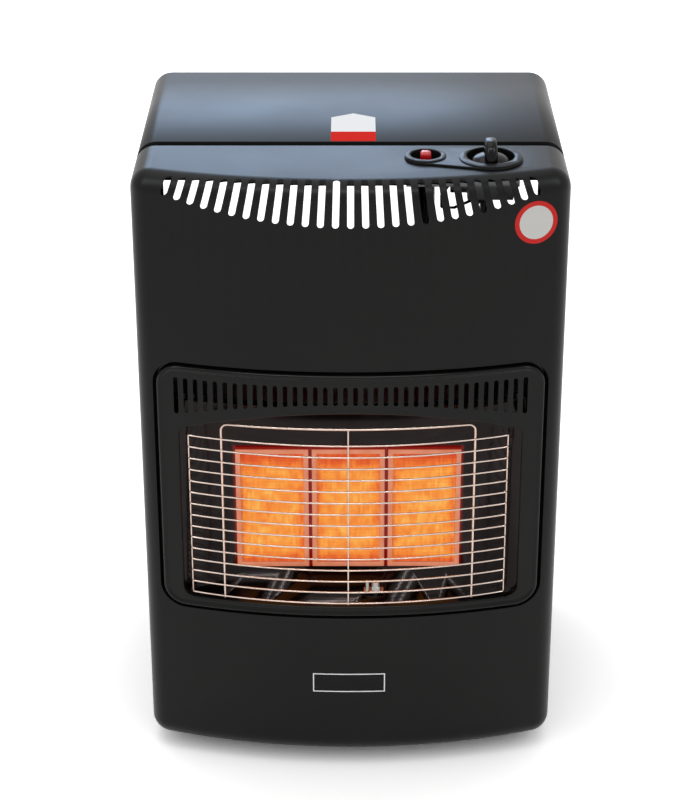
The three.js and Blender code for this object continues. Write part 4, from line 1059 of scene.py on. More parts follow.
@dataclass
class CabinetForm:
    """The cabinet's sizes and the outlines that its covers share."""

    width: float = 420.0
    front_y: float = -173.0
    rear_y: float = 175.5
    bow_rise: float = 36.8
    corner_radius: float = 22.0
    edge_radius: float = 20.0
    ground: float = 12.0
    top: float = 645.4
    front_rim_y: float = -60.9
    rear_rim_y: float = -49.1
    sheet: float = 1.2
    joggle: float = 6.0
    joggle_length: float = 22.0
    clearance: float = 0.3
    bow_steps: int = 84
    corner_steps: int = 10
    edge_steps: int = 8

    @property
    def half(self) -> float:
        """Half the cabinet's width."""
        return self.width / 2

    @property
    def bow_radius(self) -> float:
        """The radius of the bowed front."""
        return (self.half ** 2 + self.bow_rise ** 2) / (2 * self.bow_rise)

    @property
    def bow_centre(self) -> float:
        """The Y of the bow's axis."""
        return self.front_y + self.bow_radius

    def bow_y(self, x: float, depth: float = 0.0) -> float:
        """The Y of the bow at an X, at a depth behind its face."""
        return self.bow_centre - math.sqrt((self.bow_radius - depth) ** 2 - x * x)

    def corner(self) -> tuple[float, float, float]:
        """The round corner's centre and the angle that it turns through."""
        x = self.half - self.corner_radius
        y = self.bow_centre - math.sqrt((self.bow_radius - self.corner_radius) ** 2 - x * x)
        return x, y, math.atan2(y - self.bow_centre, x)

    def plan(self, inset: float, back_y: float) -> Outline:
        """Gives the cabinet front's outline seen from above.

        Args:
            inset: How far it is drawn in.
            back_y: Where it ends at the back.

        Returns:
            The outline from the rear right to the rear left.
        """
        cx, cy, turn = self.corner()
        radius = self.corner_radius - inset
        right = [
            (cx + radius * math.cos(turn * step / self.corner_steps),
             cy + radius * math.sin(turn * step / self.corner_steps))
            for step in range(self.corner_steps + 1)
        ]
        reach = self.bow_radius - inset
        half_turn = turn + math.pi / 2
        bow = []
        for step in range(1, self.bow_steps):
            angle = -math.pi / 2 + half_turn * (1 - 2 * step / self.bow_steps)
            bow.append((reach * math.cos(angle), self.bow_centre + reach * math.sin(angle)))
        left = [(-x, y) for x, y in reversed(right)]
        return [(self.half - inset, back_y), *right, *bow, *left, (inset - self.half, back_y)]

    def pan(self, inset: float, back_y: float) -> Blank:
        """Gives the front as a full solid, rounded over at its top and bottom edges."""
        radius = self.edge_radius - inset
        levels = []
        for step in range(self.edge_steps + 1):
            turn = math.pi / 2 * (1 - step / self.edge_steps)
            levels.append((
                radius * (1 - math.cos(turn)),
                self.ground + inset + radius * (1 - math.sin(turn)),
            ))
        for step in range(self.edge_steps + 1):
            turn = math.pi / 2 * step / self.edge_steps
            levels.append((radius * (1 - math.cos(turn)), self.top - inset - radius * (1 - math.sin(turn))))
        rings = [[(x, y, z) for x, y in self.plan(inset + extra, back_y)] for extra, z in levels]
        return Blank(ring_mesh(rings))

    def hood(self, inset: float, low_y: float, high_y: float, bottom: float) -> Blank:
        """Gives a block with the folded rear cover's outline seen from the front."""
        half = self.half - inset
        top = self.top - inset
        radius = self.edge_radius - inset
        outline = [(-half, bottom), (half, bottom)]
        for start, side in ((0.0, 1), (90.0, -1)):
            for step in range(self.edge_steps + 1):
                turn = math.radians(start + 90.0 * step / self.edge_steps)
                outline.append((
                    side * (half - radius) + radius * math.cos(turn),
                    top - radius + radius * math.sin(turn),
                ))
        return prism_y(outline, low_y, high_y)

    def bow_sheet(self, near: float, far: float, low: float, high: float) -> Blank:
        """Gives a sheet that follows the bow between two depths behind its face."""
        reach = self.half - 6.0
        columns = [reach * (2 * step / self.bow_steps - 1) for step in range(self.bow_steps + 1)]
        outline = [(x, self.bow_y(x, near)) for x in columns]
        outline += [(x, self.bow_y(x, far)) for x in reversed(columns)]
        return prism_z(outline, low, high)

    def skin_point(self, along: float, lift: float) -> Pair:
        """Gives the plan point at a distance along the front's skin from its middle.

        Args:
            along: The distance along the skin, to the right.
            lift: How far the point stands off the skin.

        Returns:
            The point's X and Y.
        """
        cx, cy, turn = self.corner()
        reach = (turn + math.pi / 2) * self.bow_radius
        if along <= reach:
            angle = -math.pi / 2 + along / self.bow_radius
            radius = self.bow_radius + lift
            return radius * math.cos(angle), self.bow_centre + radius * math.sin(angle)
        angle = turn + (along - reach) / self.corner_radius
        radius = self.corner_radius + lift
        return cx + radius * math.cos(angle), cy + radius * math.sin(angle)


@dataclass
class SlotRow:
    """A row of upright slots along an arc, made as cutters by a Geometry Nodes tree."""

    count: int
    pitch: float
    width: float
    end: float
    fixed: float
    arc_radius: float
    arc_sign: float
    low: float
    high: float
    lean: float = 0.0
    lean_from: float = 0.0
    upright: bool = True
    round_fixed: bool = False
    follow_radius: float = 0.0
    steps: int = 8

    def seed(self) -> Blank:
        """Makes one slot whose moving end is at 0 and whose fixed end lies beyond 500 mm."""
        radius = self.width / 2
        far = 1000.0
        outline = [
            (radius * math.cos(math.pi + math.pi * step / self.steps),
             radius + radius * math.sin(math.pi + math.pi * step / self.steps))
            for step in range(self.steps + 1)
        ]
        if self.round_fixed:
            outline += [
                (radius * math.cos(math.pi * step / self.steps),
                 far - radius + radius * math.sin(math.pi * step / self.steps))
                for step in range(self.steps + 1)
            ]
        else:
            outline += [(radius, far), (-radius, far)]
        return Blank(ring_mesh([[(x, v, u) for x, u in outline] for v in (self.low, self.high)]))

    @staticmethod
    def tree() -> GeometryTree:
        """Builds the tree that sets the slots in a row and stretches each one to its arc.

        Returns:
            The tree.
        """
        tree = GeometryTree("slot_row", {
            "Count": "NodeSocketInt", "Pitch": "NodeSocketFloat", "End": "NodeSocketFloat",
            "Fixed": "NodeSocketFloat", "Arc Radius": "NodeSocketFloat", "Arc Sign": "NodeSocketFloat",
            "Lean": "NodeSocketFloat", "Lean From": "NodeSocketFloat", "Upright": "NodeSocketFloat",
            "Follow Radius": "NodeSocketFloat", "Follow From": "NodeSocketFloat",
            "Material": "NodeSocketMaterial",
        })
        line = tree.node("GeometryNodeMeshLine", mode="OFFSET")
        tree.feed(line.inputs["Count"], tree.value("Count"))
        start = (tree.value("Count") - 1.0) * tree.value("Pitch") * -0.5
        tree.feed(line.inputs["Start Location"], tree.vector(start, 0.0, 0.0))
        tree.feed(line.inputs["Offset"], tree.vector(tree.value("Pitch"), 0.0, 0.0))
        store = tree.node("GeometryNodeStoreNamedAttribute", data_type="FLOAT", domain="POINT")
        store.inputs["Name"].default_value = "slot_x"
        tree.feed(store.inputs["Geometry"], line.outputs[0])
        here = tree.node("GeometryNodeInputPosition").outputs[0]
        tree.feed(store.inputs["Value"], tree.parts(here)[0])
        spread = tree.node("GeometryNodeInstanceOnPoints")
        tree.feed(spread.inputs["Points"], store.outputs[0])
        tree.feed(spread.inputs["Instance"], tree.source.outputs["Geometry"])
        realize = tree.node("GeometryNodeRealizeInstances")
        tree.feed(realize.inputs[0], spread.outputs[0])
        named = tree.node("GeometryNodeInputNamedAttribute", data_type="FLOAT")
        named.inputs["Name"].default_value = "slot_x"
        centre = Field(tree, named.outputs["Attribute"])
        x, v, u = tree.parts(tree.node("GeometryNodeInputPosition").outputs[0])
        radius = tree.value("Arc Radius")
        fall = radius - (radius * radius - centre * centre).root()
        far = u.over(500.0)
        moving = tree.value("End") + fall * tree.value("Arc Sign") + u
        fixed = tree.value("Fixed") + u - 1000.0
        run = moving + (fixed - moving) * far
        upright = tree.value("Upright")
        height = v + (run - v) * upright
        follow = tree.value("Follow Radius")
        bowed = (follow - (follow * follow - centre * centre).root()) * v.over(tree.value("Follow From"))
        depth = run + (v - run) * upright + bowed
        leaned = x + centre * tree.value("Lean") * (tree.value("Lean From") - height)
        place = tree.node("GeometryNodeSetPosition")
        tree.feed(place.inputs["Geometry"], realize.outputs[0])
        tree.feed(place.inputs["Position"], tree.vector(leaned, depth, height))
        tree.close(place.outputs[0])
        return tree

    def cutters(self, tree: GeometryTree, material: bpy.types.Material) -> Blank:
        """Makes the row's cutters.

        Args:
            tree: The slot row tree.
            material: A material for the tree's last node.

        Returns:
            The cutters as one solid.
        """
        mesh = tree.grow(self.seed().item, {
            "Count": self.count, "Pitch": self.pitch, "End": self.end, "Fixed": self.fixed,
            "Arc Radius": self.arc_radius, "Arc Sign": self.arc_sign, "Lean": self.lean,
            "Lean From": self.lean_from, "Upright": 1.0 if self.upright else 0.0, "Material": material,
            "Follow Radius": self.follow_radius or 1.0e5,
            "Follow From": (self.low + self.high) / 2 if self.follow_radius else self.high + 1.0,
        })
        blank = Blank.from_mesh(mesh)
        skin = bmesh.new()
        skin.from_mesh(blank.item.data)
        bmesh.ops.recalc_face_normals(skin, faces=skin.faces)
        skin.to_mesh(blank.item.data)
        skin.free()
        return blank


@dataclass
class FrontCover:
    """The bowed front cover with its fan of vents, its window and the holes for the controls."""

    form: CabinetForm
    maker: Maker
    slots: GeometryTree
    vent_count: int = 27
    vent_pitch: float = 13.1
    vent_width: float = 6.4
    vent_drop: float = 43.4
    vent_setback: float = 17.0
    vent_arch: float = 617.0
    vent_back_arch: float = 1060.0
    vent_fan: float = 480.0
    wells: tuple[Point, ...] = ((134.0, -98.0, 24.4), (72.0, -95.0, 15.9))
    opening_low: float = 181.3
    opening_width: float = 382.0
    opening_height: float = 269.5
    opening_corner: float = 22.0
    opening_gap: float = 3.5
    opening_flange: float = 6.0
    opening_depth: float = 42.0
    corner_steps: int = 12
    flange_below: float = 20.0
    flange_top_drop: float = 100.0

    def shell(self) -> Blank:
        """Makes the drawn cover without its openings.

        Returns:
            The open shell.
        """
        form = self.form
        cover = form.pan(0.0, form.front_rim_y)
        cover.remove(form.pan(form.sheet, form.front_rim_y - form.sheet))
        rim = form.joggle - form.clearance
        cover.remove(form.hood(rim, form.front_rim_y - 2.4, form.front_rim_y + 1.0, form.ground - 1.0))
        lip = form.plan(form.edge_radius + form.sheet - 0.2, form.front_rim_y + 1.0)
        cover.remove(prism_z(lip, form.ground - 1.0, form.ground + 2.4))
        return cover

    def opening(self, grow: float) -> Blank:
        """Gives a block as wide as the surround's opening, grown by a distance."""
        grow += self.opening_gap
        outline = rounded_rectangle(
            -self.opening_width / 2 - grow, self.opening_width / 2 + grow, self.opening_low - grow,
            self.opening_low + self.opening_height + grow, self.opening_corner + grow, self.corner_steps,
        )
        return prism_y(outline, self.form.front_y - 1.0, self.form.front_y + self.opening_depth)

    def vents(self) -> list[Blank]:
        """Makes the cutters of the vents: down the face and back along the deck."""
        form = self.form
        material = self.maker.book.material("coat")
        shared = dict(
            count=self.vent_count, pitch=self.vent_pitch, width=self.vent_width,
            lean=1.0 / self.vent_fan, lean_from=form.top,
        )
        face = SlotRow(
            end=form.top - self.vent_drop, fixed=form.top + form.sheet, arc_radius=self.vent_arch,
            arc_sign=1.0, low=form.front_y - 1.2, high=form.front_y + form.edge_radius / 2,
            follow_radius=form.bow_radius, **shared,
        )
        deck = SlotRow(
            end=-(form.front_y + self.vent_setback), fixed=-(form.front_y - form.sheet - 2.0),
            arc_radius=self.vent_back_arch, arc_sign=-1.0, low=-(form.top + form.sheet),
            high=-(form.top - form.edge_radius / 2), upright=True,
            count=self.vent_count, pitch=self.vent_pitch, width=self.vent_width,
        )
        return [face.cutters(self.slots, material), self.turned_deck(deck, material)]

    def turned_deck(self, row: SlotRow, material: bpy.types.Material) -> Blank:
        """Lays an upright slot row down on the deck and leans it with the face's slots."""
        blank = row.cutters(self.slots, material)
        skin = bmesh.new()
        skin.from_mesh(blank.item.data)
        for vertex in skin.verts:
            x, minus_z, minus_y = vertex.co
            centre = round(x / self.vent_pitch) * self.vent_pitch
            lean = centre / self.vent_fan * (self.form.top + minus_z)
            vertex.co = Vector((x + lean, -minus_y, -minus_z))
        bmesh.ops.recalc_face_normals(skin, faces=skin.faces)
        skin.to_mesh(blank.item.data)
        skin.free()
        return blank

    def build(self) -> None:
        """Makes the finished cover."""
        form = self.form
        cover = self.shell()
        flange = self.opening(form.sheet)
        flange.keep(form.bow_sheet(
            form.sheet / 2, self.opening_flange,
            self.opening_low - self.flange_below, form.top - self.flange_top_drop,
        ))
        cover.fuse(flange).remove(self.opening(0.0))
        cover.remove(*self.vents())
        for x, y, radius in self.wells:
            cover.remove(prism_z(circle(x, y, radius + form.clearance), form.top - 2.5, form.top + 1.0))
        self.maker.finish(
            "front_cover_pressing", cover, "coat", Slot.CABINET, replaces=("front_cover",), angle=30.0
        )


@dataclass
class RearCover:
    """The folded rear cover: its joggled tongue, its turned-down back and its side flanges."""

    form: CabinetForm
    maker: Maker
    flange: float = 18.0
    narrow: float = 6.0
    step: float = 440.0
    wall_drop: float = 120.4
    recess: float = 4.3

    def way_in(self, inset: float, bottom: float) -> Blank:
        """Gives the block of the way in through the back, drawn in from the cover's sides."""
        form = self.form
        half = form.half - inset
        front = form.rear_y - self.recess - 2 * form.sheet
        return block(-half, half, front, form.rear_y + 1.0, bottom, form.top - self.wall_drop)

    def build(self) -> None:
        """Makes the finished cover."""
        form = self.form
        below = form.ground - 1.0
        tongue = form.rear_rim_y - form.joggle_length
        flange_y = form.rear_y - self.recess - form.sheet
        cover = form.hood(0.0, form.rear_rim_y, form.rear_y, form.ground)
        cover.fuse(form.hood(
            form.joggle, tongue, form.rear_rim_y + 0.6, form.ground + form.edge_radius + 0.3
        ))
        cover.remove(
            form.hood(form.sheet, form.rear_rim_y + form.sheet, flange_y, below),
            form.hood(form.joggle + form.sheet, tongue - 1.0, form.rear_rim_y + 2.4, below),
            self.way_in(self.flange, below),
            self.way_in(self.narrow, self.step),
            form.hood(form.sheet, flange_y + form.sheet, form.rear_y + 2.0, below),
        )
        cover.soften(0.4, 2, 60.0)
        self.maker.finish(
            "rear_cover_pressing", cover, "coat", Slot.CABINET, replaces=("rear_cover",), angle=30.0
        )


# ---- Surround and guard -------------------------------------------------------------------


@dataclass
class Surround:
    """The enamelled surround: a rolled edge, a field with louvres and the window's wall."""

    form: CabinetForm
    maker: Maker
    slots: GeometryTree
    width: float = 382.0
    height: float = 269.5
    low: float = 181.3
    corner: float = 22.0
    proud: float = 2.5
    field_depth: float = -0.5
    bead: float = 6.0
    lip: float = 7.0
    seat: float = 6.3
    window_width: float = 340.0
    window_low: float = 191.5
    window_height: float = 217.2
    window_arch: float = 550.0
    window_corner: float = 11.0
    window_wall: float = 9.0
    louvre_count: int = 36
    louvre_pitch: float = 9.8
    louvre_width: float = 4.5
    louvre_top: float = 438.0
    louvre_height: float = 19.6
    louvre_arch: float = 757.0

    def outline(self, grow: float) -> Outline:
        """Gives the surround's outline, drawn out or in."""
        return rounded_rectangle(
            -self.width / 2 - grow, self.width / 2 + grow, self.low - grow,
            self.low + self.height + grow, self.corner + grow, 12,
        )

    def dense(self, outline: Outline, step: float = 6.0) -> Outline:
        """Adds points to an outline's long edges so that it can follow the bow."""
        points = []
        for (ax, az), (bx, bz) in zip(outline, outline[1:] + outline[:1]):
            count = max(1, int(abs(bx - ax) / step))
            points += [(ax + (bx - ax) * i / count, az + (bz - az) * i / count) for i in range(count)]
        return points

    def window(self, grow: float) -> Outline:
        """Gives the window's outline: straight sides and sill, and an arched head."""
        half = self.window_width / 2 + grow
        low = self.window_low - grow
        top = self.window_low + self.window_height + grow
        radius = self.window_corner + grow
        arch = self.window_arch + grow
        inner = half - radius
        shoulder = top - arc_fall(arch, inner)
        outline = []
        for x, z, start in ((inner, low + radius, -90.0), (inner, shoulder - radius, 0.0)):
            for step in range(9):
                turn = math.radians(start + 90.0 * step / 8)
                outline.append((x + radius * math.cos(turn), z + radius * math.sin(turn)))
        for step in range(1, 40):
            x = inner * (1 - 2 * step / 40)
            outline.append((x, top - arc_fall(arch, x)))
        for x, z, start in ((-inner, shoulder - radius, 90.0), (-inner, low + radius, 180.0)):
            for step in range(9):
                turn = math.radians(start + 90.0 * step / 8)
                outline.append((x + radius * math.cos(turn), z + radius * math.sin(turn)))
        return outline

    def swept(self, outline: Callable[[float], Outline], profile: Sequence[Pair]) -> Blank:
        """Sweeps a closed profile round an outline on the bow.

        Args:
            outline: Gives the outline for a distance that it is drawn in.
            profile: Pairs of a distance inwards and a depth behind the bow.

        Returns:
            The closed ring.
        """
        rings = []
        for inwards, depth in profile:
            points = outline(-inwards)
            rings.append([(x, self.form.bow_y(x, depth), z) for x, z in points])
        return Blank(ring_mesh(rings, capped=False, looped=True))

    def edge_profile(self) -> list[Pair]:
        """Gives the rolled edge: up the outside, over its crest and in a long curve to the field."""
        sheet = self.form.sheet
        crest = self.bead * 0.4
        fall = self.field_depth + self.proud
        back = self.field_depth + sheet
        profile = [(0.0, self.seat), (0.0, 0.0)]
        for step in range(1, 9):
            turn = math.pi / 2 * step / 8
            profile.append((crest * (1 - math.cos(turn)), -self.proud * math.sin(turn)))
        for step in range(1, 9):
            share = step / 8
            depth = -self.proud + fall * (1 - math.cos(math.pi * share)) / 2
            profile.append((crest + (self.bead - crest) * share, depth))
        profile += [(self.bead, back), (2 * sheet, back), (sheet, back + sheet), (sheet, self.seat + sheet)]
        profile += [(-self.lip, self.seat + sheet), (-self.lip, self.seat)]
        return profile

    def wall_profile(self) -> list[Pair]:
        """Gives the window's wall: rounded into the field and running back from it."""
        sheet = self.form.sheet
        front = self.field_depth
        radius = 1.8
        profile = []
        for step in range(7):
            turn = math.pi / 2 * step / 6
            profile.append((radius * math.sin(turn) - radius, front + radius * (1 - math.cos(turn))))
        profile += [(0.0, front + self.window_wall), (-sheet, front + self.window_wall)]
        profile += [(-sheet, front + radius), (-radius, front + sheet)]
        return [(-inwards, depth) for inwards, depth in profile]

    def build(self) -> None:
        """Makes the finished surround."""
        form = self.form
        material = self.maker.book.material("enamel")
        near, far = form.front_y - 4.0, form.front_y + 60.0
        back = self.field_depth + form.sheet
        sheet = form.bow_sheet(self.field_depth, back, self.low - 2.0, self.low + self.height + 2.0)
        sheet.keep(prism_y(self.outline(-self.bead + 0.6), near, far))
        sheet.remove(prism_y(self.window(1.7), near, far))
        row = SlotRow(
            count=self.louvre_count, pitch=self.louvre_pitch, width=self.louvre_width,
            end=self.louvre_top - self.louvre_height, fixed=self.louvre_top, arc_radius=self.louvre_arch,
            arc_sign=-1.0, low=near, high=far, round_fixed=True,
        )
        sheet.remove(row.cutters(self.slots, material))
        edge = self.swept(lambda grow: self.dense(self.outline(grow)), self.edge_profile())
        wall = self.swept(lambda grow: self.dense(self.window(-grow)), self.wall_profile())
        sheet.add(edge, wall)
        self.maker.finish(
            "surround_pressing", sheet, "enamel", Slot.INSERT, replaces=("surround",), angle=32.0
        )


@dataclass
class WireGuard:
    """The welded guard: bowed rows with turned-back ends, their uprights and a frame."""

    form: CabinetForm
    maker: Maker
    wire: float = 2.2
    drawn: float = 1.8
    frame_wire: float = 2.4
    rows: int = 15
    low: float = 195.1
    high: float = 373.7
    width: float = 320.0
    recess: float = 5.0
    middle_recess: float = 1.0
    frame_width: float = 251.0
    frame_top: float = 390.0
    turned_back: float = 14.0
    offset: float = -2.4
    bend: float = 5.0
    sides: int = 10

    @property
    def pitch(self) -> float:
        """The distance between two rows."""
        return (self.high - self.low) / (self.rows - 1)

    @property
    def behind(self) -> float:
        """How far the uprights and the frame lie behind the rows."""
        return self.wire * 0.6

    def row_depth(self, x: float) -> float:
        """How far the rows lie behind the bow at an X: less in the middle than at their ends."""
        return self.middle_recess + (self.recess - self.middle_recess) * (2 * x / self.width) ** 2

    def at(self, x: float, z: float, depth: float) -> Point:
        """Gives the point of the guard at an X and a height, at a depth behind the bow."""
        return x + self.offset, self.form.bow_y(x, depth), z

    def row_path(self) -> list[Point]:
        """Gives the lowest row: forwards from the wall, round a bend, along the bow and back."""
        half = self.width / 2
        corner_y = self.form.bow_y(half, self.recess)
        lean = math.asin(half / (self.form.bow_radius - self.recess))
        cut = self.bend * math.tan((math.pi / 2 - lean) / 2)
        right = [(half + self.offset, self.form.bow_y(half) + self.turned_back + self.recess, self.low)]
        for step in range(7):
            turn = (math.pi / 2 - lean) * step / 6
            x = half - self.bend * (1 - math.cos(turn))
            right.append((x + self.offset, corner_y + cut - self.bend * math.sin(turn), self.low))
        reach = half - cut * math.cos(lean) - 1.0
        columns = [reach * (1 - 2 * step / 60) for step in range(61)]
        bow = [self.at(x, self.low, self.row_depth(x)) for x in columns]
        left = [(2 * self.offset - x, y, z) for x, y, z in reversed(right)]
        return right + bow + left

    def frame_path(self, depth: float) -> list[Point]:
        """Gives the frame: up one side, round its corners and down the other."""
        half = self.frame_width / 2
        radius = 7.0
        path = [self.at(half, self.low - self.wire, depth), self.at(half, self.frame_top - radius, depth)]
        for step in range(1, 7):
            turn = math.pi / 2 * step / 6
            path.append(self.at(
                half - radius * (1 - math.cos(turn)), self.frame_top - radius * (1 - math.sin(turn)), depth
            ))
        inner = half - radius
        path += [self.at(inner * (1 - 2 * step / 40), self.frame_top, depth) for step in range(1, 20)]
        mirror = [(2 * self.offset - x, y, z) for x, y, z in reversed(path)]
        return path + [self.at(0.0, self.frame_top, depth)] + mirror

    def tree(self) -> GeometryTree:
        """Builds the tree that stacks a path in rows and gives it a round section.

        Returns:
            The tree.
        """
        tree = GeometryTree("wire_rows", {
            "Rows": "NodeSocketInt", "Pitch": "NodeSocketFloat", "Radius": "NodeSocketFloat",
            "Sides": "NodeSocketInt", "Material": "NodeSocketMaterial",
        })
        curve = tree.node("GeometryNodeMeshToCurve")
        tree.feed(curve.inputs[0], tree.source.outputs["Geometry"])
        profile = tree.node("GeometryNodeCurvePrimitiveCircle", mode="RADIUS")
        tree.feed(profile.inputs["Resolution"], tree.value("Sides"))
        tree.feed(profile.inputs["Radius"], tree.value("Radius"))
        skin = tree.node("GeometryNodeCurveToMesh")
        tree.feed(skin.inputs["Curve"], curve.outputs[0])
        tree.feed(skin.inputs["Profile Curve"], profile.outputs[0])
        skin.inputs["Fill Caps"].default_value = True
        line = tree.node("GeometryNodeMeshLine", mode="OFFSET")
        tree.feed(line.inputs["Count"], tree.value("Rows"))
        tree.feed(line.inputs["Offset"], tree.vector(0.0, 0.0, tree.value("Pitch")))
        spread = tree.node("GeometryNodeInstanceOnPoints")
        tree.feed(spread.inputs["Points"], line.outputs[0])
        tree.feed(spread.inputs["Instance"], skin.outputs[0])
        tree.close(spread.outputs[0])
        return tree

    def wires(self, tree: GeometryTree, path: Sequence[Point], radius: float, rows: int = 1) -> Blank:
        """Makes wires along a path.

        Args:
            tree: The wire tree.
            path: The lowest wire's points.
            radius: The wire's radius.
            rows: How many wires are stacked.

        Returns:
            The wires as one mesh.
        """
        skin = bmesh.new()
        vertices = [skin.verts.new(point) for point in path]
        for first, second in zip(vertices, vertices[1:]):
            skin.edges.new((first, second))
        mesh = tree.grow(Blank(skin).item, {
            "Rows": rows, "Pitch": self.pitch, "Radius": radius, "Sides": self.sides,
            "Material": self.maker.book.material("wire"),
        })
        return Blank.from_mesh(mesh)

    def build(self) -> None:
        """Makes the finished guard."""
        tree = self.tree()
        radius = self.drawn / 2
        side = self.width / 2 - self.behind
        guard = self.wires(tree, self.row_path(), radius, self.rows)
        for x in (-side, side):
            ends = [self.at(x, z, self.recess + self.behind) for z in (self.low - radius, self.high + radius)]
            guard.add(self.wires(tree, ends, radius))
        frame_depth = self.row_depth(self.frame_width / 2) + self.behind
        middle_depth = self.middle_recess + self.behind
        middle = [
            self.at(0.0, self.low - self.wire, middle_depth),
            self.at(0.0, self.high + 2 * self.wire, middle_depth),
            self.at(0.0, self.frame_top, frame_depth),
        ]
        guard.add(
            self.wires(tree, middle, radius),
            self.wires(tree, self.frame_path(frame_depth), self.frame_wire / 2),
        )
        skin = bmesh.new()
        skin.from_mesh(guard.item.data)
        bmesh.ops.recalc_face_normals(skin, faces=skin.faces)
        skin.to_mesh(guard.item.data)
        skin.free()
        self.maker.finish("guard_wires", guard, "wire", Slot.WIRE, replaces=("wire_guard",), angle=50.0)


# ---- Burner -------------------------------------------------------------------------------


@dataclass
class Burner:
    """The three glowing plaques in their trays, the firebox and the pilot."""

    maker: Maker
    names: tuple[str, ...] = ("left", "centre", "right")
    pitch: float = 77.4
    centre: float = -2.4
    width: float = 74.0
    low: float = 206.0
    height: float = 135.0
    front: float = -115.0
    rim: float = 5.3
    hole_pitch: float = 1.95
    row_pitch: float = 1.7
    hole_radius: float = 0.56
    pit_depth: float = 2.4
    face: float = -114.6

    def tile(self) -> Blank:
        """Makes one tile of the plaque's face with a six-sided pit in it."""
        skin = bmesh.new()
        half_x, half_z = self.hole_pitch / 2, self.row_pitch / 2
        outer = [
            (half_x, half_z), (0.0, half_z), (-half_x, half_z),
            (-half_x, -half_z), (0.0, -half_z), (half_x, -half_z),
        ]
        turns = [math.radians(angle) for angle in (30, 90, 150, 210, 270, 330)]
        hexagon = [(self.hole_radius * math.cos(turn), self.hole_radius * math.sin(turn)) for turn in turns]
        edge = [skin.verts.new((x, 0.0, z)) for x, z in outer]
        mouth = [skin.verts.new((x, 0.0, z)) for x, z in hexagon]
        floor = [skin.verts.new((x * 0.8, self.pit_depth, z * 0.8)) for x, z in hexagon]
        for index in range(6):
            after = (index + 1) % 6
            skin.faces.new((edge[index], edge[after], mouth[after], mouth[index]))
            skin.faces.new((mouth[index], mouth[after], floor[after], floor[index]))
        skin.faces.new(floor)
        for item in skin.faces:
            item.normal_update()
            middle = item.calc_center_median()
            wanted = Vector((0.0, -1.0, 0.0))
            if item.normal.y > -0.99:
                wanted = Vector((-middle.x, -1.0, -middle.z))
            if item.normal.dot(wanted) < 0.0:
                item.normal_flip()
        return Blank(skin)

    def tree(self) -> GeometryTree:
        """Builds the tree that lays tiles in staggered rows.

        Returns:
            The tree.
        """
        tree = GeometryTree("perforated_face", {
            "Columns": "NodeSocketInt", "Rows": "NodeSocketInt", "Pitch": "NodeSocketFloat",
            "Row Pitch": "NodeSocketFloat", "Left": "NodeSocketFloat", "Face": "NodeSocketFloat",
            "Low": "NodeSocketFloat", "Material": "NodeSocketMaterial",
        })
        join = tree.node("GeometryNodeJoinGeometry")
        for odd in (0, 1):
            row = tree.node("GeometryNodeMeshLine", mode="OFFSET")
            tree.feed(row.inputs["Count"], tree.value("Columns"))
            left = tree.value("Left") + tree.value("Pitch") * (0.5 * odd)
            low = tree.value("Low") + tree.value("Row Pitch") * float(odd)
            tree.feed(row.inputs["Start Location"], tree.vector(left, tree.value("Face"), low))
            tree.feed(row.inputs["Offset"], tree.vector(tree.value("Pitch"), 0.0, 0.0))
            rows = tree.node("GeometryNodeMeshLine", mode="OFFSET")
            tree.feed(rows.inputs["Count"], tree.value("Rows"))
            tree.feed(rows.inputs["Offset"], tree.vector(0.0, 0.0, tree.value("Row Pitch") * 2.0))
            spread = tree.node("GeometryNodeInstanceOnPoints")
            tree.feed(spread.inputs["Points"], rows.outputs[0])
            tree.feed(spread.inputs["Instance"], row.outputs[0])
            realize = tree.node("GeometryNodeRealizeInstances")
            tree.feed(realize.inputs[0], spread.outputs[0])
            tiles = tree.node("GeometryNodeInstanceOnPoints")
            tree.feed(tiles.inputs["Points"], realize.outputs[0])
            tree.feed(tiles.inputs["Instance"], tree.source.outputs["Geometry"])
            tree.feed(join.inputs[0], tiles.outputs[0])
        tree.close(join.outputs[0])
        return tree

    def plaque(self, tree: GeometryTree, index: int) -> None:
        """Makes one plaque: a body behind and the perforated face on it."""
        x = self.centre + (index - 1) * self.pitch
        half = self.width / 2 - self.rim
        low, high = self.low + self.rim, self.low + self.height - self.rim
        columns = int(2 * half / self.hole_pitch)
        pairs = int((high - low) / (2 * self.row_pitch))
        span_x = (columns - 0.5) * self.hole_pitch
        span_z = (2 * pairs - 1) * self.row_pitch
        left = x - span_x / 2 + self.hole_pitch * 0.25
        bottom = (low + high) / 2 - span_z / 2
        mesh = tree.grow(self.tile().item, {
            "Columns": columns, "Rows": pairs, "Pitch": self.hole_pitch, "Row Pitch": self.row_pitch,
            "Left": left, "Face": self.face, "Low": bottom, "Material": self.maker.book.material("ceramic"),
        })
        face = Blank.from_mesh(mesh)
        back = block(x - half, x + half, self.face + self.pit_depth + 0.2, self.front + 14.0, low, high)
        edge_x = (2 * half - span_x - self.hole_pitch) / 2 + self.hole_pitch / 2
        band = self.face + 0.15
        for low_x, high_x, low_z, high_z in (
            (x - half, x - half + edge_x, low, high), (x + half - edge_x, x + half, low, high),
            (x - half, x + half, low, bottom - self.row_pitch / 2 + 0.2),
            (x - half, x + half, bottom + span_z + self.row_pitch / 2 - 0.2, high),
        ):
            face.add(block(low_x, high_x, band, self.face + self.pit_depth + 0.3, low_z, high_z))
        face.add(back)
        name = self.names[index]
        self.maker.finish(
            f"plaque_{name}", face, "ceramic", Slot.CERAMIC, replaces=(f"ceramic_plaque_{name}",), flat=True
        )

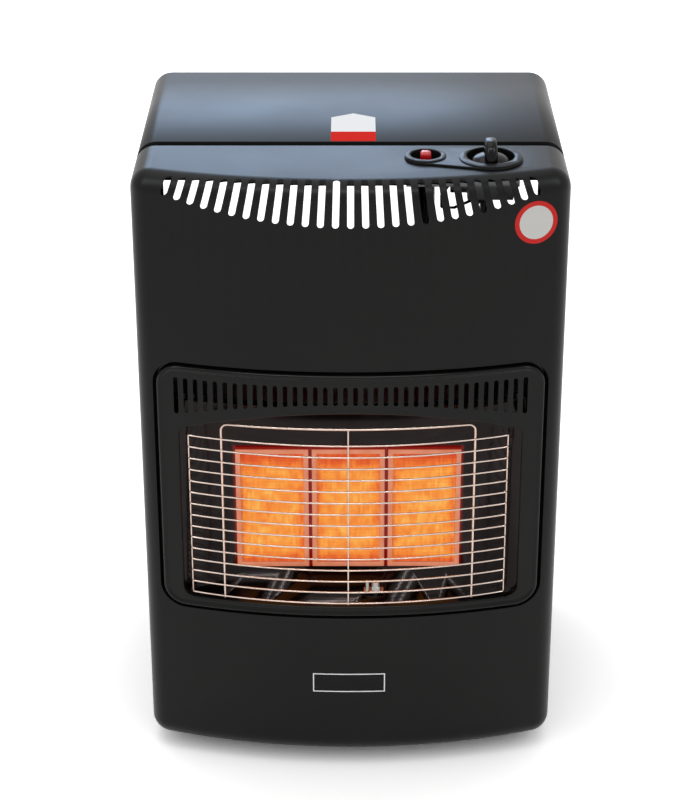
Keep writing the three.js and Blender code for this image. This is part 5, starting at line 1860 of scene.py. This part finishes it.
    def build(self) -> None:
        """Makes the finished burner."""
        tree = self.tree()
        for index, name in enumerate(self.names):
            self.plaque(tree, index)
            self.maker.refine(f"burner_tray_{name}", "tray", Slot.TRAY, edge=1.1)
            self.maker.refine(f"injector_{name}", "brass", Slot.BRASS)
        self.maker.refine("firebox", "reflector", Slot.REFLECTOR, edge=0.0)
        self.maker.refine("pilot_burner", "steel", Slot.ZINC)
        for node in ("burner_support_upper", "burner_support_lower", "gas_rail", "heat_deflector"):
            self.maker.refine(node, "zinc", Slot.ZINC)


# ---- Controls -----------------------------------------------------------------------------


@dataclass
class Controls:
    """The control plate with its two wells, the knob, the button and the tap below them."""

    maker: Maker
    knob_x: float = 134.0
    knob_y: float = -98.0
    knob_radius: float = 20.5
    knob_well: float = 23.0
    knob_ring: float = 31.0
    knob_ring_shift: float = -3.5
    knob_low: float = 637.7
    knob_dome: float = 13.0
    fin_height: float = 14.0
    fin_width: float = 13.0
    button_x: float = 72.0
    button_y: float = -95.0
    button_size: float = 10.4
    button_well: float = 14.5
    button_ring: float = 20.5
    button_ring_shift: float = -1.5
    round_steps: int = 64
    button_top: float = 651.8
    plate_low: float = 645.7
    plate_high: float = 647.5
    rim_high: float = 648.7
    well_floor: float = 631.7
    wall: float = 1.4

    def plate_outline(self, grow: float) -> Outline:
        """Gives the two rounds of the plate and the tangents that join them."""
        big, small = self.knob_ring + grow, self.button_ring + grow
        knob_y, button_y = self.knob_y + self.knob_ring_shift, self.button_y + self.button_ring_shift
        apart = math.hypot(self.knob_x - self.button_x, knob_y - button_y)
        heading = math.atan2(button_y - knob_y, self.button_x - self.knob_x)
        spread = math.acos((big - small) / apart)
        outline = []
        for x, y, radius, start, end in (
            (self.knob_x, knob_y, big, heading + spread, heading - spread + 2 * math.pi),
            (self.button_x, button_y, small, heading - spread, heading + spread),
        ):
            for step in range(41):
                turn = start + (end - start) * step / 40
                outline.append((x + radius * math.cos(turn), y + radius * math.sin(turn)))
        return outline

    def well(self, plate: Blank, centre: Pair, radius: float, ring: Pair, bore: float) -> None:
        """Adds a well and its raised rim to the plate.

        Args:
            plate: The plate being worked.
            centre: The well's axis.
            radius: The well's radius.
            ring: The rim's radius and how far its middle lies in front of the well's.
            bore: The radius of the hole in the well's floor.
        """
        x, y = centre
        rim, shift = ring
        top = self.rim_high
        underside = self.well_floor - self.wall
        around = circle(x, y, radius + self.wall, self.round_steps)
        plate.fuse(prism_z(around, underside, self.plate_high - 1.0))
        edge = [(rim, self.plate_low + 0.4), (rim, top - 0.8), (rim - 0.3, top - 0.25), (rim - 1.0, top)]
        plate.fuse(lathe(edge, x, y + shift, self.round_steps))
        mouth = [
            (radius, self.well_floor), (radius, top - 1.2), (radius + 0.3, top - 0.4), (radius + 1.0, top),
            (radius + 1.2, top + 1.0),
        ]
        plate.remove(
            lathe(mouth, x, y, self.round_steps),
            prism_z(circle(x, y, bore), self.well_floor - 3.0, self.well_floor + 1.0),
        )

    def plate(self) -> None:
        """Makes the control plate with its wells and their raised rims."""
        high = self.plate_high
        levels = [(0.0, self.plate_low), (0.0, high - 0.9), (-0.3, high - 0.3), (-0.9, high)]
        plate = Blank(ring_mesh([[(x, y, z) for x, y in self.plate_outline(grow)] for grow, z in levels]))
        knob_rim = (self.knob_ring - 0.6, self.knob_ring_shift)
        button_rim = (self.button_ring - 0.6, self.button_ring_shift)
        self.well(plate, (self.knob_x, self.knob_y), self.knob_well, knob_rim, 5.0)
        self.well(plate, (self.button_x, self.button_y), self.button_well, button_rim, 4.0)
        self.maker.finish(
            "control_plate", plate, "satin", Slot.PLASTIC, replaces=("control_escutcheon",), angle=35.0
        )

    def grip(self, bottom: float, top: float) -> Blank:
        """Gives the knob's upright grip: round-ended in plan, arched and rounded over its top."""
        half = self.fin_width / 2
        length = self.knob_radius - 1.5
        rings = []
        for degrees in (0, 15, 30, 42, 53, 62, 70, 77, 82, 86, 88.5):
            turn = math.radians(degrees)
            wide = half * math.cos(turn) ** 0.24
            long = max(length * math.cos(turn) ** 0.6, wide + 0.05)
            z = bottom + (top - bottom) * math.sin(turn)
            straight = long - wide
            ring = []
            for start, side in ((0.0, 1.0), (math.pi, -1.0)):
                for step in range(13):
                    angle = start + math.pi * step / 12
                    ring.append((
                        self.knob_x + wide * math.cos(angle),
                        self.knob_y + side * straight + wide * math.sin(angle),
                        z,
                    ))
            rings.append(ring)
        return Blank(ring_mesh(rings))

    def knob(self) -> None:
        """Makes the knob: a low dome with a tall rounded grip, and a rib round its foot."""
        low, dome = self.knob_low, self.knob_low + self.knob_dome
        radius = self.knob_radius
        profile = [(radius - 0.8, low), (radius, low + 0.8), (radius, low + 2.6), (radius - 0.9, low + 3.4)]
        for step in range(1, 13):
            turn = math.pi / 2 * step / 13
            profile.append(((radius - 0.9) * math.cos(turn), low + 3.4 + (dome - low - 3.4) * math.sin(turn)))
        profile.append((0.0, dome))
        knob = lathe(profile, self.knob_x, self.knob_y, 64)
        knob.fuse(self.grip(low + 4.0, dome + self.fin_height))
        knob.remove(prism_z(circle(self.knob_x, self.knob_y, 4.3, 24), low - 1.0, dome - 3.7))
        self.maker.finish("tap_knob", knob, "plastic", Slot.PLASTIC, Body.KNOB, ("control_knob",), angle=50.0)

    def button(self) -> None:
        """Makes the igniter button: a square head with a crowned top on a round stem."""
        half = self.button_size / 2
        low, top = self.button_top - 15.0, self.button_top
        rings = []
        for shrink, z in (
            (0.3, low), (0.0, low + 0.4), (0.0, top - 3.0), (0.35, top - 1.6),
            (1.1, top - 0.6), (2.2, top - 0.12), (3.4, top),
        ):
            outline = rounded_rectangle(
                self.button_x - half + shrink, self.button_x + half - shrink,
                self.button_y - half + shrink, self.button_y + half - shrink, max(2.2 - shrink * 0.5, 0.5), 6,
            )
            rings.append([(x, y, z) for x, y in outline])
        button = Blank(ring_mesh(rings))
        button.add(prism_z(circle(self.button_x, self.button_y, 3.0, 24), 617.5, low + 0.3))
        self.maker.finish(
            "igniter_push_button", button, "red", Slot.RED, Body.BUTTON, ("igniter_button",), angle=40.0
        )

    def build(self) -> None:
        """Makes the finished controls."""
        self.plate()
        self.knob()
        self.button()
        for node, finish, slot, body, edge, angle in (
            ("control_bracket", "zinc", Slot.ZINC, Body.CABINET, 0.25, 38.0),
            ("control_valve", "casting", Slot.ALUMINIUM, Body.CABINET, 0.5, 38.0),
            ("hose_nozzle", "brass", Slot.BRASS, Body.CABINET, 0.25, 38.0),
            ("valve_plunger", "brass", Slot.BRASS, Body.PLUNGER, 0.25, 38.0),
            ("valve_spindle", "brass", Slot.BRASS, Body.KNOB, 0.25, 38.0),
            ("igniter_body", "plastic", Slot.PLASTIC, Body.CABINET, 0.25, 38.0),
            ("feed_tube", "casting", Slot.ZINC, Body.CABINET, 0.0, 60.0),
            ("thermocouple_lead", "rubber", Slot.RUBBER, Body.CABINET, 0.0, 80.0),
            ("ignition_lead", "rubber", Slot.RUBBER, Body.CABINET, 0.0, 80.0),
        ):
            self.maker.refine(node, finish, slot, body, edge, angle)


# ---- Stickers and badge -------------------------------------------------------------------


@dataclass
class Stickers:
    """The bare round sticker, the bare top label and the bare badge."""

    form: CabinetForm
    maker: Maker
    sticker_x: float = 176.0
    sticker_z: float = 599.0
    sticker_radius: float = 21.5
    thickness: float = 0.15
    label: tuple[float, float, float, float, float] = (-19.4, 24.8, -48.0, 24.5, 37.0)
    badge: tuple[float, float, float, float] = (-38.8, 35.5, 90.0, 112.0)
    badge_edge: float = 1.1
    badge_proud: float = 0.7
    field_gap: float = 0.05
    field_sink: float = 0.25
    badge_columns: int = 24
    sticker_rings: int = 8
    sticker_edge: float = 0.96
    round_steps: int = 64

    def face_map(self, mesh: bpy.types.Mesh, place: Callable[[Vector], Pair]) -> None:
        """Writes the piece's own UV map from its points."""
        layer = mesh.uv_layers.new(name="face")
        for loop in mesh.loops:
            layer.data[loop.index].uv = place(mesh.vertices[loop.vertex_index].co)

    def round_sticker(self) -> None:
        """Makes the round sticker, which follows the bow and the corner."""
        centre = self.form.bow_radius * math.asin(self.sticker_x / self.form.bow_radius)
        skin = bmesh.new()
        rings = self.sticker_rings
        shares = [step / rings for step in range(1, rings)] + [self.sticker_edge, 1.0]
        steps = self.round_steps
        layers = []
        for lift in (self.thickness, SKIN_LIFT):
            rows = []
            for share in shares:
                row = []
                for step in range(steps):
                    turn = 2 * math.pi * step / steps
                    radius = self.sticker_radius * share
                    x, y = self.form.skin_point(centre + radius * math.cos(turn), lift)
                    row.append(skin.verts.new((
                        x * MM, y * MM, (self.sticker_z + radius * math.sin(turn)) * MM
                    )))
                rows.append(row)
            x, y = self.form.skin_point(centre, lift)
            layers.append((skin.verts.new((x * MM, y * MM, self.sticker_z * MM)), rows))
        for hub, rows in layers:
            for step in range(steps):
                after = (step + 1) % steps
                skin.faces.new((hub, rows[0][step], rows[0][after]))
                for inner, outer in zip(rows, rows[1:]):
                    skin.faces.new((inner[step], outer[step], outer[after], inner[after]))
        top, under = layers[0][1][-1], layers[1][1][-1]
        for step in range(steps):
            after = (step + 1) % steps
            skin.faces.new((top[step], under[step], under[after], top[after]))
        bmesh.ops.recalc_face_normals(skin, faces=skin.faces)
        mesh = bpy.data.meshes.new("round_sticker")
        skin.to_mesh(mesh)
        skin.free()
        span = 2 * self.sticker_radius * MM

        def place(point: Vector) -> Pair:
            """Maps a point on the sticker to its flat face."""
            along = self.along(point.x / MM, point.y / MM) - centre
            return 0.5 + along * MM / span, 0.5 + (point.z - self.sticker_z * MM) / span

        self.face_map(mesh, place)
        self.maker.finish("round_sticker", mesh, "sticker", Slot.PLASTIC)

    def along(self, x: float, y: float) -> float:
        """Gives the distance along the skin of a plan point near it."""
        cx, cy, turn = self.form.corner()
        reach = (turn + math.pi / 2) * self.form.bow_radius
        angle = math.atan2(y - self.form.bow_centre, x) + math.pi / 2
        if angle * self.form.bow_radius <= reach:
            return angle * self.form.bow_radius
        return reach + (math.atan2(y - cy, x - cx) - turn) * self.form.corner_radius

    def top_label(self) -> None:
        """Makes the house-shaped label on the deck."""
        left, right, front, shoulder, peak = self.label
        middle = (left + right) / 2
        outline = [(left, front), (right, front), (right, shoulder), (middle, peak), (left, shoulder)]
        base = self.form.top + SKIN_LIFT
        sheet = prism_z(outline, base, base + self.thickness)
        mesh = sheet.mesh()
        self.face_map(mesh, lambda point: (
            (point.x / MM - left) / (right - left), (point.y / MM - front) / (peak - front)
        ))
        self.maker.finish("top_label", mesh, "label", Slot.PLASTIC, flat=True)

    def badge_plate(self) -> None:
        """Makes the bare badge: a dark field in a thin silver edge, bent to the bow."""
        left, right, low, high = self.badge
        form = self.form

        def sheet(inset: float, lift: float) -> Blank:
            """Gives a plate on the bow, drawn in by an inset."""
            a, b = left + inset, right - inset
            count = self.badge_columns
            columns = [a + (b - a) * step / count for step in range(count + 1)]
            outline = [(x, form.bow_y(x, -lift)) for x in columns]
            outline += [(x, form.bow_y(x, -SKIN_LIFT)) for x in reversed(columns)]
            return prism_z(outline, low + inset, high - inset)

        edge = sheet(0.0, self.badge_proud).remove(sheet(self.badge_edge, self.badge_proud + 1.0))
        field_plate = sheet(self.badge_edge + self.field_gap, self.badge_proud - self.field_sink)
        self.maker.finish("badge_edge", edge, "foil", Slot.WIRE)
        self.maker.finish("badge_field", field_plate, "plate", Slot.PLASTIC)

    def build(self) -> None:
        """Makes the stickers and the badge."""
        self.round_sticker()
        self.top_label()
        self.badge_plate()


# ---- Base, back and castors ---------------------------------------------------------------


@dataclass
class Chassis:
    """The base pan, the partition and the rear panel."""

    maker: Maker

    def build(self) -> None:
        """Makes the finished chassis pieces."""
        self.maker.refine("base_pan", "coat", Slot.CABINET, edge=0.3)
        self.maker.refine("partition_panel", "zinc", Slot.ZINC, edge=0.3)
        self.maker.refine("rear_panel", "coat", Slot.CABINET, Body.REAR_PANEL, edge=0.3)


@dataclass
class Castors:
    """The four swivel castors."""

    maker: Maker
    x: float = 150.0
    front_y: float = -92.0
    rear_y: float = 126.0
    trail: float = 14.0
    radius: float = 20.0
    width: float = 16.0
    bore: float = 3.3
    dish: float = 0.62
    turns: int = 48

    def wheel(self, tag: str, x: float, y: float) -> None:
        """Makes a wheel with a round tread and a dished side.

        Args:
            tag: The castor's name.
            x: The castor's place.
            y: The wheel's place.
        """
        edge = self.width / 2
        radius = self.radius
        near = [
            (self.bore, -edge), (radius * 0.34, -edge), (radius * 0.38, -edge + 0.8),
            (radius * 0.44, -edge * self.dish), (radius * 0.74, -edge * self.dish),
            (radius * 0.8, -edge + 0.8), (radius * 0.84, -edge), (radius - 2.0, -edge),
            (radius - 0.6, -edge + 0.7), (radius, -edge + 2.2),
        ]
        profile = near + [(ring_radius, -offset) for ring_radius, offset in reversed(near)]
        rings = []
        for ring_radius, offset in profile:
            rings.append([
                (x + offset, y + ring_radius * math.cos(turn), radius + ring_radius * math.sin(turn))
                for turn in (2 * math.pi * step / self.turns for step in range(self.turns))
            ])
        wheel = Blank(ring_mesh(rings, capped=False, looped=True))
        self.maker.finish(
            f"wheel_{tag}", wheel, "tread", Slot.RUBBER, f"wheel_{tag}", (f"castor_wheel_{tag}",), angle=30.0
        )

    def build(self) -> None:
        """Makes the four castors."""
        for tag, x, y in (
            ("front_left", -self.x, self.front_y), ("front_right", self.x, self.front_y),
            ("rear_left", -self.x, self.rear_y), ("rear_right", self.x, self.rear_y),
        ):
            self.wheel(tag, x, y + self.trail)
            self.maker.refine(f"castor_plate_{tag}", "zinc", Slot.ZINC)
            self.maker.refine(f"castor_fork_{tag}", "zinc", Slot.ZINC, f"swivel_{tag}")
            self.maker.refine(f"castor_axle_{tag}", "steel", Slot.ZINC, f"swivel_{tag}")


# ---- Studio -------------------------------------------------------------------------------


@dataclass
class Softbox:
    """A large area light aimed at a point."""

    name: str
    place: Point
    target: Point
    size: Pair
    power: float
    colour: Point = (1.0, 1.0, 1.0)
    diffuse: bool = True

    def build(self) -> None:
        """Puts the light in the scene."""
        data = bpy.data.lights.new(self.name, "AREA")
        data.shape = "RECTANGLE"
        data.size, data.size_y = self.size
        data.energy = self.power
        data.color = self.colour
        item = bpy.data.objects.new(self.name, data)
        item.location = self.place
        aim = Vector(self.target) - Vector(self.place)
        item.rotation_euler = aim.to_track_quat("-Z", "Y").to_euler()
        item.visible_camera = False
        item.visible_diffuse = self.diffuse
        bpy.context.scene.collection.objects.link(item)


@dataclass
class Studio:
    """The camera, the pale floor, the world and the lights."""

    camera_place: Point = (0.0, -2.1451, 1.3721)
    look_down: float = 25.66
    focal_pixels: float = 2254.8
    picture: tuple[int, int] = (700, 800)
    shift_pixels: float = 0.6
    floor_size: float = 14.0
    floor_gap: float = 0.0003
    ambient: float = 0.78
    floor_gain: float = 0.75

    def camera(self) -> None:
        """Sets the camera at the viewing angle."""
        data = bpy.data.cameras.new("camera")
        data.sensor_width = 36.0
        data.lens = self.focal_pixels / max(self.picture) * data.sensor_width
        data.shift_x = -self.shift_pixels / max(self.picture)
        data.clip_end = 50.0
        item = bpy.data.objects.new("camera", data)
        item.location = self.camera_place
        item.rotation_euler = (math.radians(90.0 - self.look_down), 0.0, 0.0)
        bpy.context.scene.collection.objects.link(item)
        bpy.context.scene.camera = item

    def floor(self) -> None:
        """Lays the floor: white to the camera and to reflections, with the object's shadow."""
        skin = bmesh.new()
        half = self.floor_size / 2
        corners = [
            skin.verts.new((x, y, -self.floor_gap))
            for x, y in ((-half, -half), (half, -half), (half, half), (-half, half))
        ]
        skin.faces.new(corners)
        mesh = bpy.data.meshes.new("floor")
        skin.to_mesh(mesh)
        skin.free()
        material = bpy.data.materials.new("pale_floor")
        material.use_nodes = True
        tree = NodeTree(material.node_tree)
        material.node_tree.nodes.clear()
        output = tree.node("ShaderNodeOutputMaterial")
        matt = tree.node("ShaderNodeBsdfDiffuse")
        matt.inputs["Color"].default_value = (0.9, 0.9, 0.9, 1.0)
        shown = tree.node("ShaderNodeBsdfDiffuse")
        seen = tree.seen_ray()
        tree.feed(shown.inputs["Color"], seen * self.floor_gain)
        add = tree.node("ShaderNodeAddShader")
        tree.feed(add.inputs[0], matt.outputs[0])
        tree.feed(add.inputs[1], shown.outputs[0])
        tree.feed(output.inputs["Surface"], add.outputs[0])
        item = bpy.data.objects.new("floor", mesh)
        mesh.materials.append(material)
        bpy.context.scene.collection.objects.link(item)

    def world(self) -> None:
        """Sets the world: an even light, and white to the camera and to reflections."""
        world = bpy.data.worlds.new("studio")
        world.use_nodes = True
        bpy.context.scene.world = world
        tree = NodeTree(world.node_tree)
        ground = world.node_tree.nodes["Background"]
        ground.inputs["Color"].default_value = (1.0, 1.0, 1.0, 1.0)
        seen = tree.seen_ray()
        tree.feed(ground.inputs["Strength"], tree.math("MAXIMUM", seen, self.ambient))

    def build(self) -> None:
        """Sets the stage."""
        scene = bpy.context.scene
        scene.view_settings.view_transform = "Standard"
        self.camera()
        self.floor()
        self.world()
        for light in (
            Softbox("overhead", (-0.3, 0.2, 2.6), (0.0, 0.0, 0.3), (1.8, 1.8), 12.0),
            Softbox(
                "behind", (-0.4, 3.4, 2.15), (-0.05, 0.0, 0.65), (1.6, 1.5),
                40.0, (0.5, 0.7, 1.0), False,
            ),
            Softbox("front_strip", (-0.1, -1.3, 2.5), (0.0, -0.15, 0.45), (1.5, 0.16), 17.0, diffuse=False),
            Softbox(
                "left_strip", (-1.5, -1.0, 2.0), (-0.15, -0.1, 0.6), (0.35, 1.0),
                11.0, (0.9, 0.95, 1.0), False,
            ),
            Softbox(
                "right_strip", (1.5, -0.9, 1.9), (0.15, -0.1, 0.6), (0.3, 0.9),
                8.0, (0.9, 0.95, 1.0), False,
            ),
        ):
            light.build()


def main() -> None:
    """Builds the heater and its studio, and reports each piece."""
    logging.basicConfig(level=logging.INFO, format="%(name)s: %(message)s")
    form = CabinetForm()
    book = FinishBook()
    maker = Maker(book)
    slots = SlotRow.tree()
    FrontCover(form, maker, slots).build()
    RearCover(form, maker).build()
    Surround(form, maker, slots).build()
    WireGuard(form, maker).build()
    Burner(maker).build()
    Controls(maker).build()
    Stickers(form, maker).build()
    Chassis(maker).build()
    Castors(maker).build()
    Studio().build()
    report_sizes()


def report_sizes() -> None:
    """Updates the view layer."""
    bpy.context.view_layer.update()


if __name__ == "__main__":
    main()
